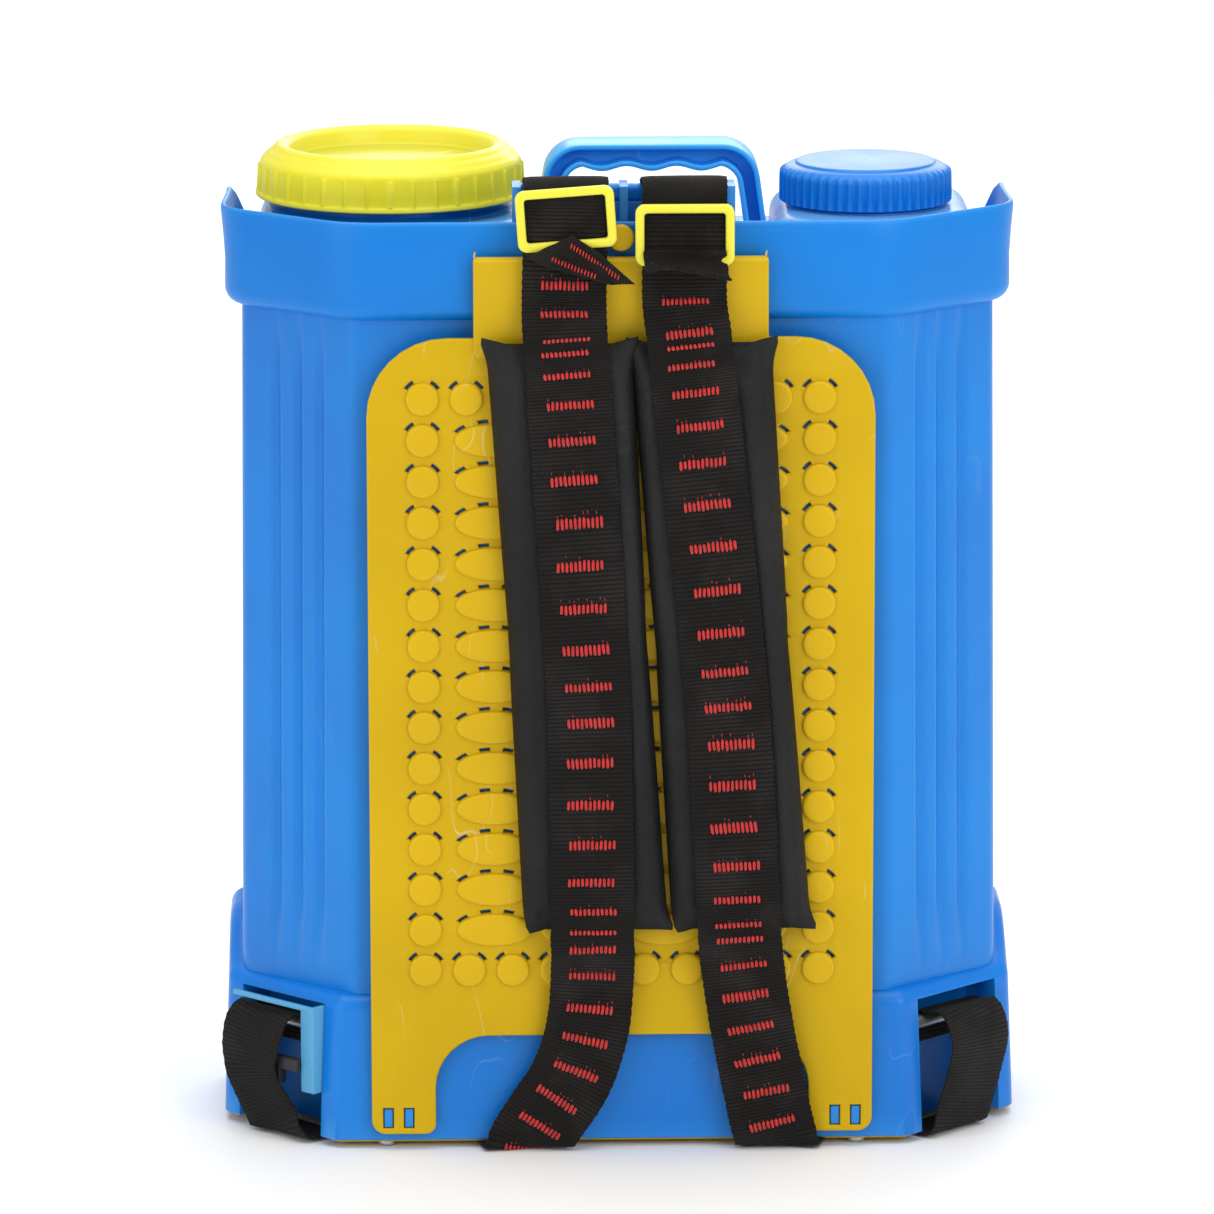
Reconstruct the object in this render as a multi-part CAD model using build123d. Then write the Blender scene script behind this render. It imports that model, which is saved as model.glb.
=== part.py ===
from build123d import *
import math
import os

# Battery knapsack sprayer. Millimetres, +Z up. The wearer's side, with the back plate and the
# harness, faces -Y. The origin is the bottom centre of the whole object, on the ground.

# ------------------------------------------------------------------ driving dimensions
BODY_Y = 5.0              # mid-plane of the tank, set back because the harness stands out in front

# tank
TANK_HALF_WIDTH = 186.0   # outside, just above the floor
TANK_HALF_DEPTH = 88.0
TANK_DRAFT = 3.0          # how much each side leans in by the shoulder
TANK_FLOOR_Z = 78.0
SHOULDER_Z = 428.0
SHOULDER_DROP = 8.0       # height and width of the sloped edge under the shoulder
CORNER_X = 54.0           # width and depth of the cut-off corners
CORNER_Y = 48.0
TANK_WALL = 3.0
FLUTE_COUNT = 3
FLUTE_PITCH = 14.0
FLUTE_WIDTH = 5.0
FLUTE_DEPTH = 2.0
PANEL_HALF_WIDTH = 108.0  # raised panel of the tank that backs the back plate
PANEL_TOP_Z = 388.0

# splash collar round the front half of the tank top
COLLAR_HALF_WIDTH = 190.5
COLLAR_END_HALF_WIDTH = 185.5
COLLAR_HALF_DEPTH = 93.0
COLLAR_CORNER_X = 59.5
COLLAR_CORNER_Y = 50.0
COLLAR_WALL = 3.0
COLLAR_BOTTOM_Z = SHOULDER_Z - 22.0
COLLAR_TOP_Z = SHOULDER_Z + 25.5
COLLAR_FOOT = 6.0

# raised ends of the tank top, with the necks
TURRET_TOP_Z = SHOULDER_Z + 19.0
TURRET_FRONT = 62.0       # in front of and behind the mid-plane
TURRET_REAR = 72.0
TURRET_OUTER_X = 173.0
TURRET_RADIUS = 30.0
TURRET_EDGE = 7.0

# filler neck, strainer and lid
LID_X = -109.0
LID_Y = BODY_Y + 2.0
LID_RADIUS = 65.5
LID_RIBS = 36
LID_RIB_HEIGHT = 1.5
LID_BOTTOM_Z = SHOULDER_Z + 25.0
LID_BORE = 61.0           # clears the neck by its missing threads
NECK_RADIUS = 56.0
NECK_BORE = 51.0
NECK_TOP_Z = SHOULDER_Z + 34.0
NECK_STEP = 2.5            # a neck's spigot is this much slimmer than the neck
NECK_SPIGOT = 5.0
STRAINER_RIM = 1.5
STRAINER_DEPTH = 68.0
STRAINER_WALL = 1.6
STRAINER_GAP = 1.5
GASKET = 2.0
LID_PLATE = 2.5
LID_RING = 10.0            # height of the raised ring over the flat disc
LID_SHOULDER = 8.0
LID_RECESS_RADIUS = 50.0
BREATHER_RADIUS = 7.0

# second neck and its cap
CAP_X = 121.0
CAP_Y = BODY_Y
CAP_RADIUS = 42.0
CAP_RIBS = 52
CAP_BOTTOM_Z = SHOULDER_Z + 20.5
CAP_NECK_RADIUS = 36.0
CAP_NECK_BORE = 31.0
CAP_NECK_TOP_Z = SHOULDER_Z + 34.5
CAP_EDGE = 4.0

# carrying handle
HANDLE_X = 17.0
HANDLE_TOP_Z = SHOULDER_Z + 50.0
HANDLE_TOP_HALF = 50.0
HANDLE_FOOT_HALF = 57.0
HANDLE_CORNERS = (18.0, 16.0, 9.0)   # radii outside, in the channel and inside
HANDLE_BAND = 10.0
HANDLE_DEPTH = 28.0
HANDLE_WEB = 4.0
HANDLE_FLANGE = 4.0
HANDLE_FOOT = 4.0
FINGER_BUMPS = 3
FINGER_PITCH = 24.0
FINGER_RADIUS = 4.0
SCREW_RADIUS = 2.5
SCREW_HEAD_RADIUS = 4.5
SCREW_HEAD = 2.5
SCREW_GAP = 0.1
HANDLE_SCREW_LENGTH = 16.0
BOSS_RADIUS = 6.0

# harness
WEBBING = 40.0            # width of the webbing
WEBBING_THICK = 1.8
ANCHOR_X = 2.0
STRAP_PITCH = 56.0        # between the two strap centres at the anchor
ANCHOR_Y = BODY_Y - 67.0
ANCHOR_DEPTH = 20.0
ANCHOR_TOP_Z = SHOULDER_Z + 40.0
ANCHOR_RAIL = 9.0
ANCHOR_UPRIGHT = 4.0
ANCHOR_BASE = 5.0
STRAP_Y = BODY_Y - 106.5  # plane of the straight stretch of each strap in front of the collar
PAD_THICK = 12.0
PAD_LEFT_WIDTH = 67.0
PAD_RIGHT_WIDTH = 65.0
PAD_TOP_Z = 398.0
PAD_BOTTOM_Z = 112.0
BUCKLE_WIDTH = 49.0
BUCKLE_HEIGHT = 27.0
BUCKLE_RAIL = 4.0
BUCKLE_BAR = 4.5
BUCKLE_BAR_THICK = 2.6
BUCKLE_GAP = 0.5
BUCKLE_Z = SHOULDER_Z + 26.0

# back plate
PLATE_HALF_WIDTH = 121.0
PLATE_TOP_Z = 399.0
PLATE_BOTTOM_Z = 8.0
PLATE_THICK = 4.0
PLATE_REAR = 95.0         # distance of its rear face in front of the mid-plane
PLATE_SHOULDER = 34.0
TAB_HALF_WIDTH = 70.0
TAB_TOP_Z = SHOULDER_Z + 10.0
TAB_LAYER = 2.0            # the tab's raised front layer
TAB_LAYER_Z = 389.0
EAR_Z = SHOULDER_Z + 19.0
EAR_RADIUS = 6.5
EAR_NECK = 3.5
ARCH_HALF_WIDTH = 90.0
ARCH_TOP_Z = 57.0
ARCH_RADIUS = 24.0
BUTTON_ROWS = 15
BUTTON_ROW_PITCH = 20.0
BUTTON_COLUMNS = 10
BUTTON_COLUMN_PITCH = 21.0
BUTTON_TOP_ROW_Z = 370.0
BUTTON_HEIGHT = 2.0
BUTTON_RADIUS = 7.8
OVAL_COUNT = 4
OVAL_PITCH = 40.7
OVAL_HALF_WIDTH = 18.3
SLOT_X = (103.0, 113.0)
SLOT_Z = 16.0
SLOT_WIDTH = 5.0
SLOT_HEIGHT = 10.0
HOOK_GAP = 0.5
STUD_RADIUS = 3.0
STUD_HEAD_RADIUS = 6.0
STUD_HEAD = 2.0

# base housing and tray
BASE_HALF_WIDTH = 193.5
BASE_HALF_DEPTH = 95.0
BASE_DRAFT = 2.5
BASE_CORNER_X = 54.5
BASE_CORNER_Y = 53.0
BASE_WALL = 3.0
BASE_BOTTOM_Z = 4.0
BASE_FRONT_Z = 76.0
BASE_REAR_Z = 98.0
LEDGE = 8.0
TRAY_THICK = 3.0
TRAY_Z = 2.5              # underside of the tray plate
TRAY_GAP = 0.5
FOOT_FRONT_X = 104.0
FOOT_REAR_X = 148.0
FOOT_Y = 58.0
FOOT_LENGTH = 46.0
FOOT_WIDTH = 20.0
POCKET_LENGTH = 56.0
POCKET_DEPTH = 22.0
POCKET_TOP_Z = 70.0
TRAY_SCREW_LENGTH = 18.0
TRAY_SCREW_HEAD = 2.0
TRAY_SCREW_FRONT_X = 114.0
TRAY_SCREW_REAR_X = 88.0
STRAP_BAR_RADIUS = 3.5
STRAP_BAR_Z = 56.0
CLIP_LIP = 2.5             # height of the clip's lip along the top of the pocket

# power pack
BATTERY = (151.0, 94.0, 65.0)
BATTERY_X = 52.0
BATTERY_Y = BODY_Y - 19.0
CLAMP_WIDTH = 25.0
CLAMP_THICK = 2.0
CLAMP_FOOT = 14.0

# pump and motor, on one axis along X
PUMP_Y = BODY_Y - 5.0
PUMP_Z = 37.0
PUMP_SIZE = 50.0
PUMP_FRONT_X = -158.0
PUMP_COVER = 12.0
DIAPHRAGM = 1.5
PUMP_REAR_X = -108.0
MOTOR_RADIUS = 19.0
MOTOR_LENGTH = 68.0
MOTOR_WALL = 2.0
SHAFT_RADIUS = 2.0
SHAFT_GAP = 0.05
ARMATURE_RADIUS = 15.0
ECCENTRIC_RADIUS = 9.0
ECCENTRIC_OFFSET = 2.0
CRANK_ROOM = 13.0
PORT_RADIUS = 4.5
PORT_LENGTH = 8.0
HOSE_RADIUS = 6.5
HOSE_GAP = 0.1
INLET_X = -146.0
INLET_Z = 48.0
OUTLET_X = -118.0
OUTLET_Z = 26.0
TANK_OUTLET_Y = BODY_Y + 44.0
TANK_OUTLET_STEM = 8.0
HOSE_BEND = 15.0
SPIGOT_RADIUS = 4.5
SPIGOT_LENGTH = 14.0
BUSH_HEIGHT = 6.0
BRACKET_THICK = 2.5

# control panel at the rear
PANEL_OUT = 97.0          # outer and inner faces behind the mid-plane
PANEL_IN = 93.5
PANEL_X = (-62.0, 138.0)
PANEL_Z = (26.0, 76.0)
CONTROL_Z = 51.0
ROCKER_X = -30.0
GAUGE_X = 12.0
KNOB_X = 60.0
SOCKET_X = 108.0
ROCKER_TILT = 10.0
KNOB_RADIUS = 14.0
KNOB_HEIGHT = 10.0
GAUGE_RADIUS = 13.0
SOCKET_RADIUS = 8.0
JACK_RADIUS = 2.8
HINGE_PIN = 1.0
LEAD_RADIUS = 2.0

# worked out from the above
STRAINER_TOP_Z = NECK_TOP_Z + STRAINER_RIM
LID_CEILING_Z = STRAINER_TOP_Z + GASKET
LID_PLATE_Z = LID_CEILING_Z + LID_PLATE
LID_TOP_Z = LID_PLATE_Z + LID_RING
CAP_CEILING_Z = CAP_NECK_TOP_Z + GASKET
CAP_TOP_Z = CAP_CEILING_Z + LID_PLATE
TRAY_TOP_Z = TRAY_Z + TRAY_THICK
PLATE_FRONT_Y = BODY_Y - PLATE_REAR - PLATE_THICK
PAD_REAR_Y = PLATE_FRONT_Y - BUTTON_HEIGHT - 0.5
PAD_FRONT_Y = PAD_REAR_Y - PAD_THICK
PAD_STRAP_Y = PAD_FRONT_Y - WEBBING_THICK / 2 - 0.4
BATTERY_TOP_Z = TRAY_TOP_Z + BATTERY[2]
PANEL_FACE_Y = BODY_Y + PANEL_OUT
CAP_HINGE_Z = CONTROL_Z + SOCKET_RADIUS + 3.0
CAP_HINGE_Y = PANEL_FACE_Y + 3.2


# ------------------------------------------------------------------ shared shapes
def block(x, y, z):
    """A box given by its low and high values along each axis."""
    centre = Pos((x[0] + x[1]) / 2, (y[0] + y[1]) / 2, (z[0] + z[1]) / 2)
    return centre * Box(x[1] - x[0], y[1] - y[0], z[1] - z[0])


def rod_x(radius, x, y, z):
    """A cylinder along X from x[0] to x[1]."""
    return Pos((x[0] + x[1]) / 2, y, z) * Rot(0, 90, 0) * Cylinder(radius, x[1] - x[0])


def rod_y(radius, x, y, z):
    """A cylinder along Y from y[0] to y[1]."""
    return Pos(x, (y[0] + y[1]) / 2, z) * Rot(90, 0, 0) * Cylinder(radius, y[1] - y[0])


def rod_z(radius, x, y, z):
    """A cylinder along Z from z[0] to z[1]."""
    return Pos(x, y, (z[0] + z[1]) / 2) * Cylinder(radius, z[1] - z[0])


def ring_z(outer, inner, x, y, z):
    """A tube along Z."""
    return rod_z(outer, x, y, z) - rod_z(inner, x, y, (z[0] - 1, z[1] + 1))


def corner_points(sx, sy, half_width, half_depth, corner, flutes):
    """One cut-off corner, from its front or rear end to its side end."""
    start = Vector(sx * (half_width - corner[0]), sy * half_depth)
    end = Vector(sx * half_width, sy * (half_depth - corner[1]))
    along = (end - start).normalized()
    inward = Vector(-sx * corner[1], -sy * corner[0]).normalized()
    middle = (start + end) / 2
    points = [start]
    for i in range(flutes):
        centre = middle + along * (i - (flutes - 1) / 2) * FLUTE_PITCH
        points.append(centre - along * FLUTE_WIDTH / 2)
        points.append(centre + inward * FLUTE_DEPTH)
        points.append(centre + along * FLUTE_WIDTH / 2)
    points.append(end)
    return points


def octagon(z, half_width, half_depth, corner, flutes=0):
    """A rectangle with cut-off corners round the mid-plane, at height z."""
    points = []
    for sx, sy in ((1, -1), (1, 1), (-1, 1), (-1, -1)):
        run = corner_points(sx, sy, half_width, half_depth, corner, flutes)
        points += run if sx * sy < 0 else run[::-1]
    outline = Polyline(*[(p.X, p.Y) for p in points], close=True)
    return Pos(0, BODY_Y, z) * make_face(outline)


def ribbon(stations, width, thickness):
    """A flat band through stations of (point, direction across the band, optional width)."""
    points = [Vector(*station[0]) for station in stations]
    faces = []
    for i, station in enumerate(stations):
        before = points[max(i - 1, 0)]
        after = points[min(i + 1, len(points) - 1)]
        across = Vector(*station[1]).normalized()
        normal = (after - before).normalized().cross(across).normalized()
        half = across * (station[2] if len(station) > 2 else width) / 2
        depth = normal * thickness / 2
        corners = [points[i] + half + depth, points[i] - half + depth,
                   points[i] - half - depth, points[i] + half - depth]
        faces.append(make_face(Polyline(*corners, close=True)))
    spans = [loft([start, end], ruled=True) for start, end in zip(faces, faces[1:])]
    return spans[0].fuse(*spans[1:])


def tube(points, radii, outer, inner):
    """A hose along straight runs joined by arcs."""
    path = FilletPolyline(*points, radius=radii)
    start = Plane(path @ 0, z_dir=path % 0)
    solid = sweep(start * Circle(outer), path=path)
    if inner:
        solid -= sweep(start * Circle(inner), path=path)
    return solid


def screw_down(x, y, z, length):
    """A pan-head screw pointing down, its head resting on height z."""
    head = rod_z(SCREW_HEAD_RADIUS, x, y, (z, z + SCREW_HEAD))
    return head + rod_z(SCREW_RADIUS, x, y, (z - length, z))


# ------------------------------------------------------------------ tank
def tank_body(inset):
    """The main body of the tank, or its cavity when inset by the wall."""
    corner = (CORNER_X - inset * 0.4, CORNER_Y - inset * 0.4)
    low = TANK_FLOOR_Z + inset
    top = SHOULDER_Z - inset
    wide = TANK_HALF_WIDTH - inset
    deep = TANK_HALF_DEPTH - inset
    sections = ((low, TANK_DRAFT), (low + 2 * TANK_DRAFT, 0), (top - SHOULDER_DROP, TANK_DRAFT),
                (top, TANK_DRAFT + SHOULDER_DROP))
    return loft([octagon(z, wide - less, deep - less, corner, FLUTE_COUNT) for z, less in sections],
                ruled=True)


def turret(x, inset):
    """One raised end of the tank top, between x[0] and x[1], or its cavity."""
    width = x[1] - x[0] - 2 * inset
    depth = TURRET_FRONT + TURRET_REAR - 2 * inset
    low = SHOULDER_Z - 3 * TANK_WALL
    top = TURRET_TOP_Z - inset
    middle_y = BODY_Y + (TURRET_REAR - TURRET_FRONT) / 2
    plan = Pos((x[0] + x[1]) / 2, middle_y, low) * RectangleRounded(width, depth, TURRET_RADIUS - inset)
    solid = extrude(plan, amount=top - low)
    return fillet(solid.faces().sort_by(Axis.Z)[-1].edges(), TURRET_EDGE - inset)


def turret_spans():
    """The X spans of the turrets: each reaches a little past its neck towards the middle."""
    left = (-TURRET_OUTER_X, LID_X + LID_RADIUS + 0.5)
    right = (CAP_X - CAP_RADIUS - 3, TURRET_OUTER_X)
    return left, right


def collar_face(inset, z):
    """Plan of the collar, open to the rear, cut off later at the mid-plane."""
    side = COLLAR_HALF_WIDTH
    front = -COLLAR_HALF_DEPTH
    turn = front + COLLAR_CORNER_Y
    flat = side - COLLAR_CORNER_X
    end = COLLAR_END_HALF_WIDTH
    outline = Polyline((-end, 0), (-side, turn), (-flat, front), (flat, front), (side, turn), (end, 0),
                       (end, 30), (-end, 30), close=True)
    face = make_face(outline)
    if inset:
        face = offset(face, amount=-inset, kind=Kind.INTERSECTION)
    return Pos(0, BODY_Y, z) * face


def collar():
    """The upstanding splash wall with its foot, up to the mid-plane only."""
    height = COLLAR_TOP_Z - COLLAR_BOTTOM_Z
    wall = extrude(collar_face(0, COLLAR_BOTTOM_Z), amount=height)
    wall -= extrude(collar_face(COLLAR_WALL, COLLAR_BOTTOM_Z + COLLAR_FOOT), amount=height)
    rear = block((-300, 300), (BODY_Y, BODY_Y + 100), (COLLAR_BOTTOM_Z - 5, COLLAR_TOP_Z + 5))
    return wall - rear


def raised_panel(inset):
    """The raised panel on the tank's front wall that the back plate lies against."""
    half = PANEL_HALF_WIDTH - inset
    front = BODY_Y - PLATE_REAR + 0.3 + inset
    back = BODY_Y - TANK_HALF_DEPTH + 4 * TANK_WALL
    return block((-half, half), (front, back), (BASE_FRONT_Z + 8 + inset, PANEL_TOP_Z - inset))


def handle_screw_places():
    """Where the handle's four screws stand: (x, y)."""
    reach = HANDLE_DEPTH / 2 + SCREW_HEAD_RADIUS + 1.5
    out = HANDLE_FOOT_HALF - 10
    return [(HANDLE_X + sx * out, BODY_Y + sy * reach) for sx in (-1, 1) for sy in (-1, 1)]


def anchor_screw_places():
    """Where the anchor's four screws stand: (x, y), in front of and behind the rail."""
    return [(ANCHOR_X + sx * STRAP_PITCH / 2, ANCHOR_Y + sy * 8.5) for sx in (-1, 1) for sy in (-1, 1)]


def tank():
    """The hollow tank in one blow-moulded piece, with collar, neck holes and screw bosses."""
    left, right = turret_spans()
    solid = tank_body(0) + turret(left, 0) + turret(right, 0) + collar() + raised_panel(0)
    cavity = tank_body(TANK_WALL) + turret(left, TANK_WALL) + turret(right, TANK_WALL)
    cavity += raised_panel(TANK_WALL)
    for radius, x, y in ((NECK_RADIUS, LID_X, LID_Y), (CAP_NECK_RADIUS, CAP_X, CAP_Y)):
        cavity += rod_z(radius - NECK_STEP + SCREW_GAP, x, y, (SHOULDER_Z, TURRET_TOP_Z + 1))
    solid -= cavity
    screws = [(place, HANDLE_SCREW_LENGTH) for place in handle_screw_places()]
    screws += [(place, HANDLE_SCREW_LENGTH) for place in anchor_screw_places()]
    for (x, y), length in screws:
        low = SHOULDER_Z - length - 2
        solid += rod_z(BOSS_RADIUS, x, y, (low, SHOULDER_Z))
        solid -= rod_z(SCREW_RADIUS + SCREW_GAP, x, y, (low + 1.5, SHOULDER_Z + 1))
    stud_room = (BODY_Y - COLLAR_HALF_DEPTH - 1, BODY_Y - COLLAR_HALF_DEPTH + COLLAR_WALL + 1)
    solid -= rod_y(STUD_RADIUS + SCREW_GAP, 0, stud_room, EAR_Z)
    drain = (TANK_FLOOR_Z - 1, TANK_FLOOR_Z + TANK_WALL + 1)
    solid -= rod_z(TANK_OUTLET_STEM + SCREW_GAP, INLET_X, TANK_OUTLET_Y, drain)
    return solid


def neck(x, y, radius, bore, top):
    """A screw neck standing on a turret, its spigot welded into the turret's hole."""
    ring = ring_z(radius, bore, x, y, (TURRET_TOP_Z, top))
    return ring + ring_z(radius - NECK_STEP, bore, x, y, (TURRET_TOP_Z - NECK_SPIGOT, TURRET_TOP_Z))


def filler_neck():
    """The wide neck that the strainer hangs in."""
    return neck(LID_X, LID_Y, NECK_RADIUS, NECK_BORE, NECK_TOP_Z)


def small_neck():
    """The second neck."""
    return neck(CAP_X, CAP_Y, CAP_NECK_RADIUS, CAP_NECK_BORE, CAP_NECK_TOP_Z)


# ------------------------------------------------------------------ filler: strainer, lid, gasket
def filler_strainer():
    """A slotted basket hanging in the filler neck by its rim."""
    radius = NECK_BORE - STRAINER_GAP
    low = NECK_TOP_Z - STRAINER_DEPTH
    solid = ring_z(NECK_RADIUS - 1, radius - STRAINER_WALL, LID_X, LID_Y, (NECK_TOP_Z, STRAINER_TOP_Z))
    solid += ring_z(radius, radius - STRAINER_WALL, LID_X, LID_Y, (low, NECK_TOP_Z))
    floor = rod_z(radius, LID_X, LID_Y, (low, low + STRAINER_WALL))
    for spoke in PolarLocations(radius * 0.55, 8):
        floor -= Pos(LID_X, LID_Y, low) * spoke * Box(26, 9, 4 * STRAINER_WALL)
    solid += floor
    window = Box(4 * STRAINER_WALL, 22, 36)
    for place in PolarLocations(radius, 8):
        solid -= Pos(LID_X, LID_Y, low + 30) * place * window
    return solid


def ribbed_cap(x, y, radius, ribs, low, ceiling, top, bore, shoulder):
    """A screw cap without its threads: ribbed skirt, sloped shoulder and flat top."""
    skirt = radius - LID_RIB_HEIGHT
    body = rod_z(skirt, x, y, (low, top))
    body = chamfer(body.edges().sort_by(Axis.Z)[-1], shoulder)
    rib = Box(2 * LID_RIB_HEIGHT, 2.2, top - shoulder - low)
    middle = (low + top - shoulder) / 2
    for place in PolarLocations(skirt, ribs):
        body += Pos(x, y, middle) * place * rib
    return body - rod_z(bore, x, y, (low - 1, ceiling))


def filler_lid():
    """The wide screw lid with a raised ring round a sunk flat disc."""
    lid = ribbed_cap(LID_X, LID_Y, LID_RADIUS, LID_RIBS, LID_BOTTOM_Z, LID_CEILING_Z, LID_TOP_Z, LID_BORE,
                     LID_SHOULDER)
    lid -= rod_z(LID_RECESS_RADIUS, LID_X, LID_Y, (LID_PLATE_Z, LID_TOP_Z + 1))
    return lid - rod_z(2.0, LID_X, LID_Y, (LID_CEILING_Z - 1, LID_PLATE_Z + 1))


def lid_gasket():
    """Flat rubber ring between the strainer's rim and the lid."""
    return ring_z(NECK_RADIUS, NECK_BORE - 3, LID_X, LID_Y, (STRAINER_TOP_Z, LID_CEILING_Z))


def lid_breather():
    """Rubber valve pushed through the middle of the lid, its flange under the lid's plate."""
    flange = rod_z(BREATHER_RADIUS, LID_X, LID_Y, (LID_CEILING_Z - 2, LID_CEILING_Z))
    stem = rod_z(2.0 - SHAFT_GAP, LID_X, LID_Y, (LID_CEILING_Z - 9, LID_PLATE_Z))
    return flange + stem


def small_cap():
    """The second, smaller screw cap with a low raised disc on top."""
    bore = CAP_NECK_RADIUS + 2.5
    cap = ribbed_cap(CAP_X, CAP_Y, CAP_RADIUS, CAP_RIBS, CAP_BOTTOM_Z, CAP_CEILING_Z, CAP_TOP_Z, bore,
                     CAP_EDGE)
    disc = rod_z(CAP_RADIUS - 9.5, CAP_X, CAP_Y, (CAP_TOP_Z - 0.5, CAP_TOP_Z + 1.2))
    return cap + disc


def small_cap_gasket():
    """Flat rubber ring on the second neck."""
    ends = (CAP_NECK_TOP_Z, CAP_CEILING_Z)
    return ring_z(CAP_NECK_RADIUS, CAP_NECK_BORE, CAP_X, CAP_Y, ends)


# ------------------------------------------------------------------ handle
def handle_outline(inset):
    """The handle's arch seen from the front, at half width, inset evenly."""
    top = HANDLE_TOP_Z - inset
    head = HANDLE_TOP_HALF - inset * 0.9
    foot = HANDLE_FOOT_HALF - inset
    return Polyline((-foot, SHOULDER_Z), (-head, top), (head, top), (foot, SHOULDER_Z), close=True)


def carry_handle():
    """Fixed arch of I-section with finger bumps under the grip and a screwed foot at each end."""
    plane = Plane(origin=(HANDLE_X, BODY_Y, 0), x_dir=(1, 0, 0), z_dir=(0, -1, 0))
    outer = extrude(plane * make_face(handle_outline(0)), amount=HANDLE_DEPTH / 2, both=True)
    outer = fillet(outer.edges().filter_by(Axis.Y).sort_by(Axis.Z)[-2:], HANDLE_CORNERS[0])
    inner = extrude(plane * make_face(handle_outline(HANDLE_BAND)), amount=HANDLE_DEPTH, both=True)
    inner = fillet(inner.edges().filter_by(Axis.Y).sort_by(Axis.Z)[-2:], HANDLE_CORNERS[2])
    arch = outer - inner
    channel = extrude(plane * make_face(handle_outline(HANDLE_FLANGE / 2)), amount=HANDLE_DEPTH, both=True)
    channel = fillet(channel.edges().filter_by(Axis.Y).sort_by(Axis.Z)[-2:], HANDLE_CORNERS[1])
    rim = extrude(plane * make_face(handle_outline(HANDLE_BAND - HANDLE_FLANGE / 2)), amount=HANDLE_DEPTH,
                  both=True)
    web = block((-100, 150), (BODY_Y - HANDLE_WEB / 2, BODY_Y + HANDLE_WEB / 2), (SHOULDER_Z, HANDLE_TOP_Z))
    arch -= channel - rim - web
    underside = HANDLE_TOP_Z - HANDLE_BAND
    half = HANDLE_DEPTH / 2
    for i in range(FINGER_BUMPS):
        x = HANDLE_X + (i - (FINGER_BUMPS - 1) / 2) * FINGER_PITCH
        arch += rod_y(FINGER_RADIUS, x, (BODY_Y - half, BODY_Y + half), underside)
    for sx in (-1, 1):
        x = HANDLE_X + sx * (HANDLE_FOOT_HALF - 9)
        reach = half + 2 * SCREW_HEAD_RADIUS + 3
        arch += block((x - 9, x + 9), (BODY_Y - reach, BODY_Y + reach),
                      (SHOULDER_Z, SHOULDER_Z + HANDLE_FOOT))
    for x, y in handle_screw_places():
        arch -= rod_z(SCREW_RADIUS + SCREW_GAP, x, y, (SHOULDER_Z - 1, SHOULDER_Z + HANDLE_FOOT + 1))
    return arch


def handle_screws():
    """Four screws through the handle's feet into the tank's bosses."""
    height = SHOULDER_Z + HANDLE_FOOT
    return Compound([screw_down(x, y, height, HANDLE_SCREW_LENGTH) for x, y in handle_screw_places()])


# ------------------------------------------------------------------ harness
def strap_anchor():
    """Bracket on the tank shoulder with a top rail that both straps loop over."""
    half = STRAP_PITCH / 2 + WEBBING / 2 + 1 + ANCHOR_UPRIGHT
    x = (ANCHOR_X - half, ANCHOR_X + half)
    y = (ANCHOR_Y - ANCHOR_DEPTH / 2 - 3, ANCHOR_Y + ANCHOR_DEPTH / 2 + 3)
    solid = block(x, y, (SHOULDER_Z, SHOULDER_Z + ANCHOR_BASE))
    rail = block(x, (ANCHOR_Y - ANCHOR_RAIL / 2, ANCHOR_Y + ANCHOR_RAIL / 2),
                 (ANCHOR_TOP_Z - ANCHOR_RAIL, ANCHOR_TOP_Z))
    solid += fillet(rail.edges().filter_by(Axis.X), ANCHOR_RAIL / 3)
    for centre in (ANCHOR_X - half + ANCHOR_UPRIGHT / 2, ANCHOR_X, ANCHOR_X + half - ANCHOR_UPRIGHT / 2):
        solid += block((centre - ANCHOR_UPRIGHT / 2, centre + ANCHOR_UPRIGHT / 2),
                       (ANCHOR_Y - ANCHOR_DEPTH / 2, ANCHOR_Y + ANCHOR_DEPTH / 2),
                       (SHOULDER_Z, ANCHOR_TOP_Z))
    for x, y in anchor_screw_places():
        solid -= rod_z(SCREW_RADIUS + SCREW_GAP, x, y, (SHOULDER_Z - 1, SHOULDER_Z + ANCHOR_BASE + 1))
    return solid


def anchor_screws():
    """Four screws through the anchor's base into the tank's bosses."""
    height = SHOULDER_Z + ANCHOR_BASE
    return Compound([screw_down(x, y, height, HANDLE_SCREW_LENGTH) for x, y in anchor_screw_places()])


def strap_head(x):
    """Stations of a strap from its hem behind the rail, over the rail and the collar."""
    across = (1, 0, 0)
    clear = ANCHOR_RAIL / 2 + WEBBING_THICK / 2 + 0.5
    top = ANCHOR_TOP_Z + WEBBING_THICK / 2 + 0.5
    bulge = top + 6
    return [((x, ANCHOR_Y + clear, ANCHOR_TOP_Z - ANCHOR_RAIL - 12), across),
            ((x, ANCHOR_Y + clear, ANCHOR_TOP_Z - 2), across),
            ((x, ANCHOR_Y + clear * 0.75, top - 0.3), across),
            ((x, ANCHOR_Y, top), across),
            ((x, ANCHOR_Y - 15, top + 3.5), across),
            ((x, STRAP_Y + 9, bulge), across),
            ((x, STRAP_Y + 2.5, bulge - 2.5), across),
            ((x, STRAP_Y, bulge - 7), across)]


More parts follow.
